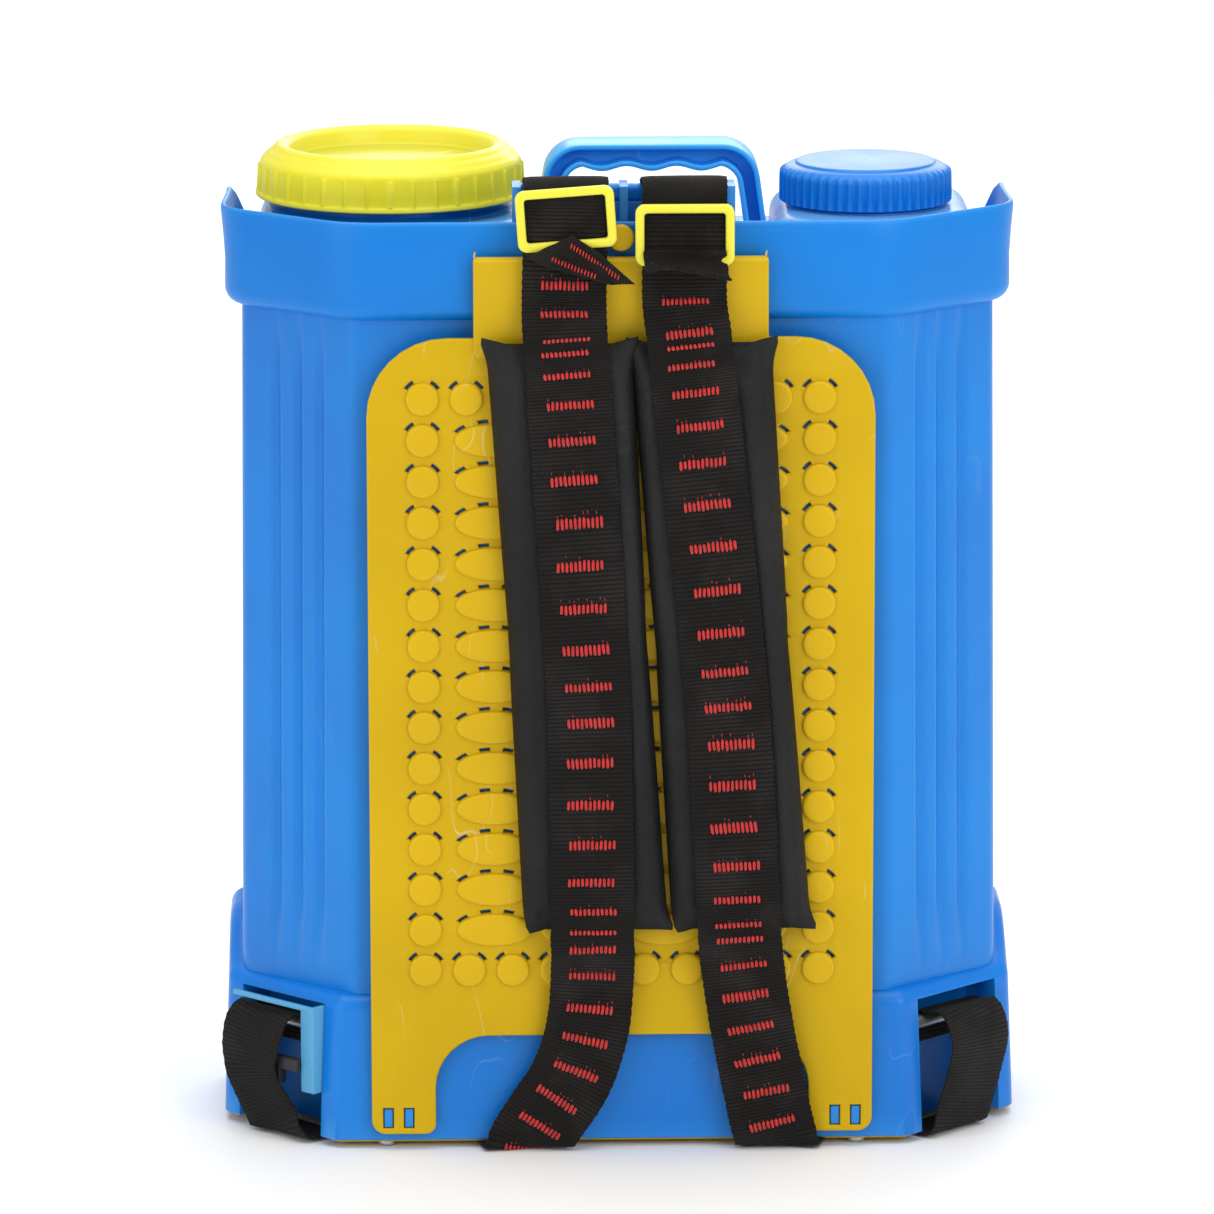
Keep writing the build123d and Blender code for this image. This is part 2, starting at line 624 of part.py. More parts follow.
def left_strap():
    """Webbing of the left shoulder strap, from the anchor over the pad to under the base."""
    across = (1, 0, 0)
    stations = strap_head(ANCHOR_X - STRAP_PITCH / 2)
    stations += [((-26.0, STRAP_Y, PAD_TOP_Z + 20), across),
                 ((-28.0, PAD_STRAP_Y, PAD_TOP_Z + 4), across),
                 ((-18.0, PAD_STRAP_Y, 229), across),
                 ((-17.5, PAD_STRAP_Y, PAD_BOTTOM_Z - 3), across),
                 ((-17.0, BODY_Y - 109, PAD_BOTTOM_Z - 18), across),
                 ((-19.0, BODY_Y - 106, 64), (1, 0, -0.05)),
                 ((-26.0, BODY_Y - 105, 38), (1, 0, -0.2)),
                 ((-37.0, BODY_Y - 104, 18), (1, 0, -0.25)),
                 ((-44.0, BODY_Y - 102, 7), (1, 0, -0.1)),
                 ((-47.0, BODY_Y - 98, 1.5), (1, -0.05, 0)),
                 ((-52.0, BODY_Y - 80, 1.3), (1, -0.2, 0))]
    return ribbon(stations, WEBBING, WEBBING_THICK)


def right_strap():
    """Webbing of the right shoulder strap, from the anchor over the pad to under the base."""
    across = (1, 0, 0)
    stations = strap_head(ANCHOR_X + STRAP_PITCH / 2)
    stations += [((30.0, STRAP_Y, PAD_TOP_Z + 20), across),
                 ((31.0, PAD_STRAP_Y, PAD_TOP_Z + 4), across),
                 ((47.5, PAD_STRAP_Y, 229), across),
                 ((52.5, PAD_STRAP_Y, PAD_BOTTOM_Z - 3), across),
                 ((54.0, BODY_Y - 109, PAD_BOTTOM_Z - 18), across),
                 ((59.0, BODY_Y - 106, 64), (1, 0, 0.1)),
                 ((66.0, BODY_Y - 105, 34), (1, 0, 0.15)),
                 ((72.0, BODY_Y - 104, 15), (1, 0, 0.1)),
                 ((74.5, BODY_Y - 102, 6), across),
                 ((75.5, BODY_Y - 98, 1.5), across),
                 ((80.0, BODY_Y - 84, 1.3), (1, 0.1, 0))]
    return ribbon(stations, WEBBING, WEBBING_THICK)


def shoulder_pad(top_x, bottom_x, width):
    """A plain cushion that leans from top_x to bottom_x over its height."""
    middle_y = (PAD_REAR_Y + PAD_FRONT_Y) / 2
    across = (1, 0, 0)
    inner = PAD_TOP_Z - 10
    outer = PAD_BOTTOM_Z + 10
    slope = (bottom_x - top_x) / (PAD_TOP_Z - PAD_BOTTOM_Z)
    stations = [((top_x, middle_y, PAD_TOP_Z), across, width - 10),
                ((top_x + slope * 10, middle_y, inner), across, width),
                ((bottom_x - slope * 10, middle_y, outer), across, width),
                ((bottom_x, middle_y, PAD_BOTTOM_Z), across, width - 10)]
    return ribbon(stations, width, PAD_THICK)


def left_shoulder_pad():
    """Padded left shoulder strap, folded flat against the back plate."""
    return shoulder_pad(-31.0, -13.5, PAD_LEFT_WIDTH)


def right_shoulder_pad():
    """Padded right shoulder strap."""
    return shoulder_pad(37.5, 57.0, PAD_RIGHT_WIDTH)


def buckle(x):
    """Three-bar slide buckle threaded on the straight stretch of a strap centred on x."""
    half = BUCKLE_WIDTH / 2
    clear = WEBBING_THICK / 2 + BUCKLE_GAP
    front = STRAP_Y - clear - BUCKLE_BAR_THICK
    rear = STRAP_Y + clear + BUCKLE_BAR_THICK
    z = (BUCKLE_Z - BUCKLE_HEIGHT / 2, BUCKLE_Z + BUCKLE_HEIGHT / 2)
    solid = block((x - half, x - half + BUCKLE_RAIL), (front, rear), z)
    solid += block((x + half - BUCKLE_RAIL, x + half), (front, rear), z)
    for low in (z[0], z[1] - BUCKLE_BAR):
        solid += block((x - half, x + half), (front, front + BUCKLE_BAR_THICK), (low, low + BUCKLE_BAR))
    middle = (BUCKLE_Z - BUCKLE_BAR / 2, BUCKLE_Z + BUCKLE_BAR / 2)
    return solid + block((x - half, x + half), (rear - BUCKLE_BAR_THICK, rear), middle)


def left_buckle():
    """Slide buckle of the left strap."""
    return buckle(ANCHOR_X - STRAP_PITCH / 2)


def right_buckle():
    """Slide buckle of the right strap."""
    return buckle(ANCHOR_X + STRAP_PITCH / 2)


def tail_top():
    """Where a free end starts: on the front of the buckle's lower bar, (y, z)."""
    front = STRAP_Y - WEBBING_THICK / 2 - BUCKLE_GAP - BUCKLE_BAR_THICK
    return front - WEBBING_THICK / 2, BUCKLE_Z - BUCKLE_HEIGHT / 2 + BUCKLE_BAR


def left_strap_tail():
    """Folded free end of the left strap below its buckle."""
    y, z = tail_top()
    across = (1, 0, 0)
    stations = [((-26.0, y, z), across, 36), ((-24, y - 0.4, z - 6), across, 34),
                ((-17, y - 0.8, z - 12), (1, 0, 0.2), 20), ((-12, y - 1, z - 15.5), (1, 0, 0.3), 6)]
    return ribbon(stations, WEBBING, WEBBING_THICK)


def right_strap_tail():
    """Free end of the right strap, bent forwards below its buckle."""
    y, z = tail_top()
    across = (1, 0, 0)
    stations = [((30.1, y, z), across), ((30.1, y, z - 5), across), ((31, y - 2.5, z - 10), across),
                ((32, y - 8, z - 13), (1, 0, -0.08)), ((33, y - 13, z - 14), (1, 0, -0.1))]
    return ribbon(stations, WEBBING - 1, WEBBING_THICK)


# ------------------------------------------------------------------ back plate
def plate_plane():
    """The plate's rear face, looking from the wearer's side."""
    return Plane(origin=(0, BODY_Y - PLATE_REAR, 0), x_dir=(1, 0, 0), z_dir=(0, -1, 0))


def rectangle(x, z, radius=0):
    """A rectangle in the plate's plane from its low and high values."""
    shape = Rectangle(x[1] - x[0], z[1] - z[0])
    if radius:
        shape = RectangleRounded(x[1] - x[0], z[1] - z[0], radius)
    return Pos((x[0] + x[1]) / 2, (z[0] + z[1]) / 2) * shape


def plate_buttons():
    """Raised buttons in the plate's plane: round ones round the edge, ovals inside."""
    round_x = [(i - (BUTTON_COLUMNS - 1) / 2) * BUTTON_COLUMN_PITCH for i in range(BUTTON_COLUMNS)]
    oval_x = [(i - (OVAL_COUNT - 1) / 2) * OVAL_PITCH for i in range(OVAL_COUNT)]
    shapes = []
    for row in range(BUTTON_ROWS):
        z = BUTTON_TOP_ROW_Z - row * BUTTON_ROW_PITCH
        whole = row in (0, BUTTON_ROWS - 1)
        for x in (round_x if whole else (round_x[0], round_x[-1])):
            shapes.append(Pos(x, z) * Circle(BUTTON_RADIUS))
        for x in (() if whole else oval_x):
            shapes.append(Pos(x, z) * Ellipse(OVAL_HALF_WIDTH, BUTTON_RADIUS))
    return shapes


def back_plate():
    """Moulded ventilated plate with a tab over the collar and two legs beside the arch."""
    wide = PLATE_HALF_WIDTH
    outline = rectangle((-wide, wide), (PLATE_TOP_Z - 4 * PLATE_SHOULDER, PLATE_TOP_Z), PLATE_SHOULDER)
    outline += rectangle((-wide, wide), (PLATE_BOTTOM_Z, PLATE_TOP_Z - PLATE_SHOULDER))
    outline += rectangle((-TAB_HALF_WIDTH, TAB_HALF_WIDTH), (PLATE_TOP_Z - 20, TAB_TOP_Z), 6)
    outline += Pos(0, EAR_Z) * Circle(EAR_RADIUS)
    outline += rectangle((-EAR_NECK, EAR_NECK), (TAB_TOP_Z - 8, EAR_Z))
    outline -= rectangle((-ARCH_HALF_WIDTH, ARCH_HALF_WIDTH), (-60, ARCH_TOP_Z), ARCH_RADIUS)
    outline -= Pos(0, EAR_Z) * Circle(STUD_RADIUS + SCREW_GAP)
    for x in SLOT_X:
        for sx in (-1, 1):
            outline -= Pos(sx * x, SLOT_Z) * Rectangle(SLOT_WIDTH, SLOT_HEIGHT)
    plate = extrude(plate_plane() * outline, amount=PLATE_THICK)
    front = Plane(origin=(0, PLATE_FRONT_Y + 0.5, 0), x_dir=(1, 0, 0), z_dir=(0, -1, 0))
    for shape in plate_buttons():
        plate += extrude(front * shape, amount=BUTTON_HEIGHT + 0.5)
    plate += extrude(front * rectangle((-TAB_HALF_WIDTH, TAB_HALF_WIDTH), (TAB_LAYER_Z, TAB_TOP_Z), 5),
                     amount=TAB_LAYER + 0.5)
    return plate


def plate_stud():
    """Push-in stud that holds the plate's ear to the collar."""
    head = rod_y(STUD_HEAD_RADIUS, 0, (PLATE_FRONT_Y - STUD_HEAD, PLATE_FRONT_Y), EAR_Z)
    shank = (PLATE_FRONT_Y, BODY_Y - COLLAR_HALF_DEPTH + COLLAR_WALL + 2)
    return head + rod_y(STUD_RADIUS, 0, shank, EAR_Z)


# ------------------------------------------------------------------ base
def base_shell(inset):
    """The base's outer form, or its inside when inset by the wall."""
    corner = (BASE_CORNER_X - inset * 0.4, BASE_CORNER_Y - inset * 0.4)
    low = BASE_BOTTOM_Z - inset
    high = BASE_REAR_Z + inset
    wide = BASE_HALF_WIDTH - inset
    deep = BASE_HALF_DEPTH - inset
    return loft([octagon(low, wide, deep, corner),
                 octagon(high, wide - BASE_DRAFT, deep - BASE_DRAFT, corner)], ruled=True)


def corner_frame(sx):
    """Plane on a front corner of the base: x along the corner towards the front, z outwards."""
    front = Vector(sx * (BASE_HALF_WIDTH - BASE_CORNER_X), BODY_Y - BASE_HALF_DEPTH)
    side = Vector(sx * BASE_HALF_WIDTH, BODY_Y - BASE_HALF_DEPTH + BASE_CORNER_Y)
    along = (front - side).normalized()
    outward = Vector(sx * BASE_CORNER_Y, -BASE_CORNER_X).normalized()
    return (front + side) / 2, along, outward


def corner_block(sx, u, v, z):
    """A box in a front corner's own directions: u along the corner, v outwards."""
    middle, along, outward = corner_frame(sx)
    points = [middle + along * a + outward * b for a, b in
              ((u[0], v[0]), (u[1], v[0]), (u[1], v[1]), (u[0], v[1]))]
    face = make_face(Polyline(*[(p.X, p.Y, z[0]) for p in points], close=True))
    return extrude(face, amount=z[1] - z[0], dir=(0, 0, 1))


def front_top_cut():
    """What is cut off the base's top edge, which is lower at the front than at the rear."""
    y = BODY_Y
    outline = Polyline((y - 130, BASE_FRONT_Z), (y - 42, BASE_FRONT_Z), (y + 6, BASE_REAR_Z),
                       (y + 6, BASE_REAR_Z + 30), (y - 130, BASE_REAR_Z + 30), close=True)
    face = Plane(origin=(-260, 0, 0), x_dir=(0, 1, 0), z_dir=(1, 0, 0)) * make_face(outline)
    return extrude(face, amount=520)


def tray_screw_places():
    """Screw positions round the tray: (x, y)."""
    inner = BASE_HALF_DEPTH - BASE_WALL - BOSS_RADIUS + 1
    side = BASE_HALF_WIDTH - BASE_WALL - BOSS_RADIUS + 1
    places = [(-side, BODY_Y), (side, BODY_Y)]
    for sx in (-1, 1):
        places.append((sx * TRAY_SCREW_FRONT_X, BODY_Y - inner))
        places.append((sx * TRAY_SCREW_REAR_X, BODY_Y + inner))
    return places


def pocket(sx, grow):
    """The strap pocket in a front corner, or its walls' outside when grown by the wall."""
    half = POCKET_LENGTH / 2 + grow
    return corner_block(sx, (-half, half), (-POCKET_DEPTH - grow, 3 - grow),
                        (BASE_BOTTOM_Z, POCKET_TOP_Z + grow))


def base_housing():
    """The skirt that carries the tank, with strap pockets, plate hooks and the control panel."""
    inside = base_shell(BASE_WALL)
    shell = base_shell(0) - inside
    ledge = base_shell(BASE_WALL) & block((-300, 300), (-200, 200), (TANK_FLOOR_Z - 3, TANK_FLOOR_Z))
    ledge -= base_shell(BASE_WALL + LEDGE)
    shell += ledge
    for sx in (-1, 1):
        shell += pocket(sx, BASE_WALL) & base_shell(1)
    for x, y in tray_screw_places():
        boss = rod_z(BOSS_RADIUS, x, y, (TRAY_TOP_Z, TRAY_TOP_Z + TRAY_SCREW_LENGTH + 3))
        shell += boss & base_shell(1)
    shell += block(PANEL_X, (BODY_Y + BASE_HALF_DEPTH - 6, PANEL_FACE_Y), PANEL_Z)
    shell -= block((PANEL_X[0] + 4, PANEL_X[1] - 4), (BODY_Y + 60, BODY_Y + PANEL_IN),
                   (PANEL_Z[0] + 4, PANEL_Z[1] - 4))
    shell -= front_top_cut()
    for sx in (-1, 1):
        shell -= pocket(sx, 0)
        for x in SLOT_X:
            half = SLOT_WIDTH / 2 - HOOK_GAP
            tall = SLOT_HEIGHT / 2 - HOOK_GAP
            shell += block((sx * x - half, sx * x + half),
                           (PLATE_FRONT_Y + 0.5, BODY_Y - BASE_HALF_DEPTH + 2),
                           (SLOT_Z - tall, SLOT_Z + tall))
    for x, y in tray_screw_places():
        shell -= rod_z(SCREW_RADIUS + SCREW_GAP, x, y, (0, TRAY_TOP_Z + TRAY_SCREW_LENGTH + 1))
    for hole in panel_holes():
        shell -= hole
    return shell


def panel_holes():
    """Holes through the control panel and the outlet hole in the rear wall."""
    through = (BODY_Y + PANEL_IN - 3, PANEL_FACE_Y + 1)
    rocker = block((ROCKER_X - 13.2, ROCKER_X + 13.2), through, (CONTROL_Z - 10.7, CONTROL_Z + 10.7))
    gauge = rod_y(GAUGE_RADIUS - 1.3, GAUGE_X, through, CONTROL_Z)
    knob = rod_y(4.7, KNOB_X, through, CONTROL_Z)
    socket = rod_y(5.7, SOCKET_X, through, CONTROL_Z)
    outlet = rod_y(7.2, OUTLET_X, (BODY_Y + 80, BODY_Y + 100), OUTLET_Z)
    return rocker, gauge, knob, socket, outlet


def bottom_tray():
    """The tray that closes the base from below, with four moulded feet."""
    inset = BASE_WALL + TRAY_GAP
    corner = (BASE_CORNER_X - inset * 0.4, BASE_CORNER_Y - inset * 0.4)
    face = octagon(TRAY_Z, BASE_HALF_WIDTH - inset, BASE_HALF_DEPTH - inset, corner)
    tray = extrude(face, amount=TRAY_THICK)
    for sx in (-1, 1):
        tray -= pocket(sx, BASE_WALL + TRAY_GAP).moved(Location((0, 0, -4)))
        for sy in (-1, 1):
            foot = RectangleRounded(FOOT_LENGTH, FOOT_WIDTH, 6)
            x = sx * (FOOT_FRONT_X if sy < 0 else FOOT_REAR_X)
            tray += extrude(Pos(x, BODY_Y + sy * FOOT_Y, 0) * foot, amount=TRAY_Z + 1)
    for x, y in tray_screw_places():
        tray -= rod_z(SCREW_RADIUS + SCREW_GAP, x, y, (0, TRAY_TOP_Z + 1))
    for x, y in clamp_screw_places() + pump_screw_places():
        tray -= rod_z(SCREW_RADIUS + SCREW_GAP, x, y, (0, TRAY_TOP_Z + 1))
    return tray


def tray_screws():
    """Six screws that hold the tray to the base, heads under the tray clear of the ground."""
    places = tray_screw_places()
    return Compound([rod_z(SCREW_HEAD_RADIUS, x, y, (TRAY_Z - TRAY_SCREW_HEAD, TRAY_Z))
                     + rod_z(SCREW_RADIUS, x, y, (TRAY_Z, TRAY_TOP_Z + TRAY_SCREW_LENGTH))
                     for x, y in places])


def left_corner_clip():
    """Light channel clip on the inner side of the left pocket."""
    half = POCKET_LENGTH / 2
    z = (26, POCKET_TOP_Z - 1)
    web = corner_block(-1, (half - 3.0, half - 0.4), (-POCKET_DEPTH + 1, 4), z)
    flange = corner_block(-1, (half - 9, half - 0.4), (1.5, 4), z)
    lip = corner_block(-1, (0.4 - half, half - 0.4), (1.5, 4), (z[1] - CLIP_LIP, z[1]))
    return web + flange + lip


def corner_bar(sx, u):
    """Steel bar across a strap pocket, between the pocket's side walls."""
    middle, along, outward = corner_frame(sx)
    start = middle + along * u[0] - outward * (POCKET_DEPTH / 2)
    end = middle + along * u[1] - outward * (POCKET_DEPTH / 2)
    path = Line((start.X, start.Y, STRAP_BAR_Z), (end.X, end.Y, STRAP_BAR_Z))
    return sweep(Plane(path @ 0, z_dir=path % 0) * Circle(STRAP_BAR_RADIUS), path=path)


def left_strap_bar():
    """Bar that the lower left strap loops round."""
    return corner_bar(-1, (-POCKET_LENGTH / 2, POCKET_LENGTH / 2 - 3.0))


def right_strap_bar():
    """Bar that the lower right strap loops round."""
    return corner_bar(1, (-POCKET_LENGTH / 2, POCKET_LENGTH / 2))


def left_strap_hook():
    """Black hook moulding on the left clip that guides the lower strap."""
    half = POCKET_LENGTH / 2
    hook = corner_block(-1, (half - 26, half - 9.2), (2, 7), (36, 42))
    return hook + corner_block(-1, (half - 26, half - 21), (2, 7), (28, 42))


def corner_stations(sx, rows):
    """Turn rows of (u, v, z, width direction in u, v, z, width) into ribbon stations."""
    middle, along, outward = corner_frame(sx)
    stations = []
    for u, v, z, across, width in rows:
        point = middle + along * u + outward * v
        direction = along * across[0] + outward * across[1] + Vector(0, 0, across[2])
        stations.append(((point.X, point.Y, z), (direction.X, direction.Y, direction.Z), width))
    return stations


def bar_loop(u, width):
    """Rows of a strap from its hem inside the pocket over the pocket's bar."""
    radius = STRAP_BAR_RADIUS + WEBBING_THICK / 2 + 0.4
    centre = -POCKET_DEPTH / 2
    rows = [(u, centre - radius, STRAP_BAR_Z - 12, (1, 0, 0), width)]
    for angle in (180, 135, 90, 50):
        turn = math.radians(angle)
        v = centre + radius * math.cos(turn)
        rows.append((u, v, STRAP_BAR_Z + radius * math.sin(turn), (1, 0, 0), width))
    return rows


def left_corner_strap():
    """Lower left strap: out of the pocket's top, bulging, pinched at the hook, under the base."""
    rows = bar_loop(-5, 38)
    rows += [(-7, 1, 61.5, (1, 0, 0), 38), (-9, 7, 56, (1, 0, 0), 38), (-11, 10, 44, (1, 0, 0), 34),
             (-11, 10.5, 34, (1, 0, 0.2), 26), (-8, 8, 24, (1, 0, 0.2), 24), (-2, 5, 13, (1, 0, 0.1), 30),
             (2, 3, 5, (1, 0, 0), 36), (4, -2, 1.4, (1, 0, 0), 38), (5, -18, 1.3, (1, 0, 0), 38)]
    return ribbon(corner_stations(-1, rows), WEBBING, WEBBING_THICK)


def right_corner_strap():
    """Lower right strap: out of the pocket's top, bulging once, under the base."""
    rows = bar_loop(-2, 40)
    rows += [(-2, 1, 62, (1, 0, 0), 40), (-3, 7, 56, (1, 0, 0), 40), (-3, 9.5, 44, (1, 0, 0), 40),
             (-1, 7, 28, (1, 0, 0), 40), (2, 4.5, 14, (1, 0, 0), 40), (4, 2.5, 5, (1, 0, 0), 40),
             (5, -2.5, 1.4, (1, 0, 0), 40), (6, -18, 1.3, (1, 0, 0), 40)]
    return ribbon(corner_stations(1, rows), WEBBING, WEBBING_THICK)


# ------------------------------------------------------------------ battery
def battery():
    """Sealed 12 V block battery lying flat, with two tabs at its left end."""
    half = BATTERY[0] / 2
    deep = BATTERY[1] / 2
    y = (BATTERY_Y - deep, BATTERY_Y + deep)
    body = block((BATTERY_X - half, BATTERY_X + half), y, (TRAY_TOP_Z, BATTERY_TOP_Z))
    for sy in (-1, 1):
        tab_y = BATTERY_Y + sy * (deep - 14)
        body += block((BATTERY_X - half - 6, BATTERY_X - half), (tab_y - 3, tab_y + 3),
                      (TRAY_TOP_Z + 52, TRAY_TOP_Z + 53))
    return body


def clamp_screw_places():
    """Where the battery clamp's two screws stand: (x, y)."""
    reach = BATTERY[1] / 2 + CLAMP_THICK + CLAMP_FOOT / 2 + 0.5
    return [(BATTERY_X, BATTERY_Y + sy * reach) for sy in (-1, 1)]


def battery_clamp():
    """Steel strap over the battery with a foot at each end."""
    x = (BATTERY_X - CLAMP_WIDTH / 2, BATTERY_X + CLAMP_WIDTH / 2)
    deep = BATTERY[1] / 2 + 0.3
    top = BATTERY_TOP_Z + 0.2
    clamp = block(x, (BATTERY_Y - deep - CLAMP_THICK, BATTERY_Y + deep + CLAMP_THICK),
                  (top, top + CLAMP_THICK))
    for sy in (-1, 1):
        near = BATTERY_Y + sy * deep
        far = near + sy * CLAMP_THICK
        foot = near + sy * (CLAMP_THICK + CLAMP_FOOT)
        clamp += block(x, sorted((near, far)), (TRAY_TOP_Z, top + CLAMP_THICK))
        clamp += block(x, sorted((near, foot)), (TRAY_TOP_Z, TRAY_TOP_Z + CLAMP_THICK))
    for place in clamp_screw_places():
        clamp -= rod_z(SCREW_RADIUS + SCREW_GAP, *place, (TRAY_TOP_Z - 1, TRAY_TOP_Z + CLAMP_THICK + 1))
    return clamp


def clamp_screws():
    """Two screws of the battery clamp."""
    height = TRAY_TOP_Z + CLAMP_THICK
    length = CLAMP_THICK + TRAY_THICK - 0.5
    return Compound([screw_down(x, y, height, length) for x, y in clamp_screw_places()])


# ------------------------------------------------------------------ pump and motor
def pump_slab(x):
    """A slice of the square pump between x[0] and x[1]."""
    half = PUMP_SIZE / 2
    return block(x, (PUMP_Y - half, PUMP_Y + half), (PUMP_Z - half, PUMP_Z + half))


def pump_cover():
    """Valve cover of the diaphragm pump, with the inlet port facing the rear."""
    cover = pump_slab((PUMP_FRONT_X, PUMP_FRONT_X + PUMP_COVER + 8))
    face = PUMP_Y + PUMP_SIZE / 2
    cover += rod_y(PORT_RADIUS, INLET_X, (face - 1, face + PORT_LENGTH), INLET_Z)
    return cover - rod_y(PORT_RADIUS - 1.5, INLET_X, (face - 12, face + PORT_LENGTH + 1), INLET_Z)


def pump_diaphragm():
    """Rubber diaphragm clamped between the cover and the head."""
    start = PUMP_FRONT_X + PUMP_COVER + 8
    return pump_slab((start, start + DIAPHRAGM))


def pump_head():
    """Crank side of the pump, with room for the eccentric and the outlet port."""
    start = PUMP_FRONT_X + PUMP_COVER + 8 + DIAPHRAGM
    head = pump_slab((start, PUMP_REAR_X))
    head -= rod_x(CRANK_ROOM, (start + 6, PUMP_REAR_X + 1), PUMP_Y, PUMP_Z)
    face = PUMP_Y + PUMP_SIZE / 2
    head += rod_y(PORT_RADIUS, OUTLET_X, (face - 1, face + PORT_LENGTH), OUTLET_Z)
    return head - rod_y(PORT_RADIUS - 1.5, OUTLET_X, (face - 6, face + PORT_LENGTH + 1), OUTLET_Z)


def pump_motor():
    """Motor can: a tube closed at both ends, with a bearing hole for the shaft at each end."""
    x = (PUMP_REAR_X, PUMP_REAR_X + MOTOR_LENGTH)
    can = rod_x(MOTOR_RADIUS, x, PUMP_Y, PUMP_Z)
    can -= rod_x(MOTOR_RADIUS - MOTOR_WALL, (x[0] + 4, x[1] - 4), PUMP_Y, PUMP_Z)
    return can - rod_x(SHAFT_RADIUS + SHAFT_GAP, (x[0] - 1, x[1] + 1), PUMP_Y, PUMP_Z)


def pump_rotor():
    """Shaft with its armature, and the eccentric that drives the diaphragm."""
    end = PUMP_REAR_X + MOTOR_LENGTH
    rotor = rod_x(SHAFT_RADIUS, (PUMP_REAR_X - 16, end + 3), PUMP_Y, PUMP_Z)
    rotor += rod_x(ARMATURE_RADIUS, (PUMP_REAR_X + 10, end - 10), PUMP_Y, PUMP_Z)
    ends = (PUMP_REAR_X - 15, PUMP_REAR_X - 4)
    return rotor + rod_x(ECCENTRIC_RADIUS, ends, PUMP_Y + ECCENTRIC_OFFSET, PUMP_Z)


def pump_screw_places():
    """Where the pump bracket's four screws stand: (x, y)."""
    x = PUMP_REAR_X + MOTOR_LENGTH / 2
    return [(x + sx * 14, PUMP_Y + sy * 26) for sx in (-1, 1) for sy in (-1, 1)]




def pump_bracket():
    """Saddle under the motor on rubber bushes."""
    x = PUMP_REAR_X + MOTOR_LENGTH / 2
    low = TRAY_TOP_Z + BUSH_HEIGHT
    saddle = block((x - 20, x + 20), (PUMP_Y - 32, PUMP_Y + 32), (low, low + BRACKET_THICK))
    saddle += block((x - 20, x + 20), (PUMP_Y - 14, PUMP_Y + 14), (low, PUMP_Z - 8))
    saddle -= rod_x(MOTOR_RADIUS + 0.1, (x - 30, x + 30), PUMP_Y, PUMP_Z)
    for px, py in pump_screw_places():
        saddle -= rod_z(SCREW_RADIUS + SCREW_GAP, px, py, (low - 1, low + BRACKET_THICK + 1))
    return saddle


def pump_bushes():
    """Four rubber bushes between the bracket and the tray."""
    return Compound([ring_z(5.5, SCREW_RADIUS + SCREW_GAP, x, y, (TRAY_TOP_Z, TRAY_TOP_Z + BUSH_HEIGHT))
                     for x, y in pump_screw_places()])


def pump_screws():
    """Four screws through the bracket and bushes into the tray."""
    height = TRAY_TOP_Z + BUSH_HEIGHT + BRACKET_THICK
    length = height - TRAY_Z - 0.5
    return Compound([screw_down(x, y, height, length) for x, y in pump_screw_places()])


# ------------------------------------------------------------------ hoses and fittings
def tank_outlet():
    """Bulkhead fitting in the tank floor with a hose barb below."""
    floor = TANK_FLOOR_Z
    solid = rod_z(13, INLET_X, TANK_OUTLET_Y, (floor + TANK_WALL, floor + TANK_WALL + 3))
    solid += rod_z(TANK_OUTLET_STEM, INLET_X, TANK_OUTLET_Y, (floor - 7, floor + TANK_WALL + 1))
    barb_end = INLET_Z + HOSE_BEND + 1.5
    solid += rod_z(PORT_RADIUS, INLET_X, TANK_OUTLET_Y, (barb_end, floor - 6))
    return solid - rod_z(PORT_RADIUS - 1.5, INLET_X, TANK_OUTLET_Y, (barb_end - 1, floor + TANK_WALL + 4))


def tank_outlet_nut():
    """Hexagon nut under the tank floor."""
    hexagon = Pos(INLET_X, TANK_OUTLET_Y, TANK_FLOOR_Z - 6) * RegularPolygon(12.5, 6)
    nut = extrude(hexagon, amount=6)
    room = (TANK_FLOOR_Z - 8, TANK_FLOOR_Z + 1)
    return nut - rod_z(TANK_OUTLET_STEM + SCREW_GAP, INLET_X, TANK_OUTLET_Y, room)


def intake_filter():
    """Slotted filter cup standing on the outlet inside the tank."""
    low = TANK_FLOOR_Z + TANK_WALL + 3
    cup = rod_z(13, INLET_X, TANK_OUTLET_Y, (low, low + 28))
    cup -= rod_z(11.2, INLET_X, TANK_OUTLET_Y, (low - 1, low + 26))
    for place in PolarLocations(12, 8):
        cup -= Pos(INLET_X, TANK_OUTLET_Y, low + 13) * place * Box(6, 2.5, 18)
    return cup


def suction_hose():
    """Hose from the tank outlet down to the pump's inlet port."""
    top = TANK_FLOOR_Z - 7.5
    port = PUMP_Y + PUMP_SIZE / 2 + 2
    points = ((INLET_X, TANK_OUTLET_Y, top), (INLET_X, TANK_OUTLET_Y, INLET_Z), (INLET_X, port, INLET_Z))
    return tube(points, HOSE_BEND, HOSE_RADIUS, PORT_RADIUS + HOSE_GAP)


def delivery_hose():
    """Hose from the pump's outlet port to the outlet fitting in the rear wall."""
    y = (PUMP_Y + PUMP_SIZE / 2 + 2, BODY_Y + 78)
    bore = rod_y(PORT_RADIUS + HOSE_GAP, OUTLET_X, (y[0] - 1, y[1] + 1), OUTLET_Z)
    return rod_y(HOSE_RADIUS, OUTLET_X, y, OUTLET_Z) - bore


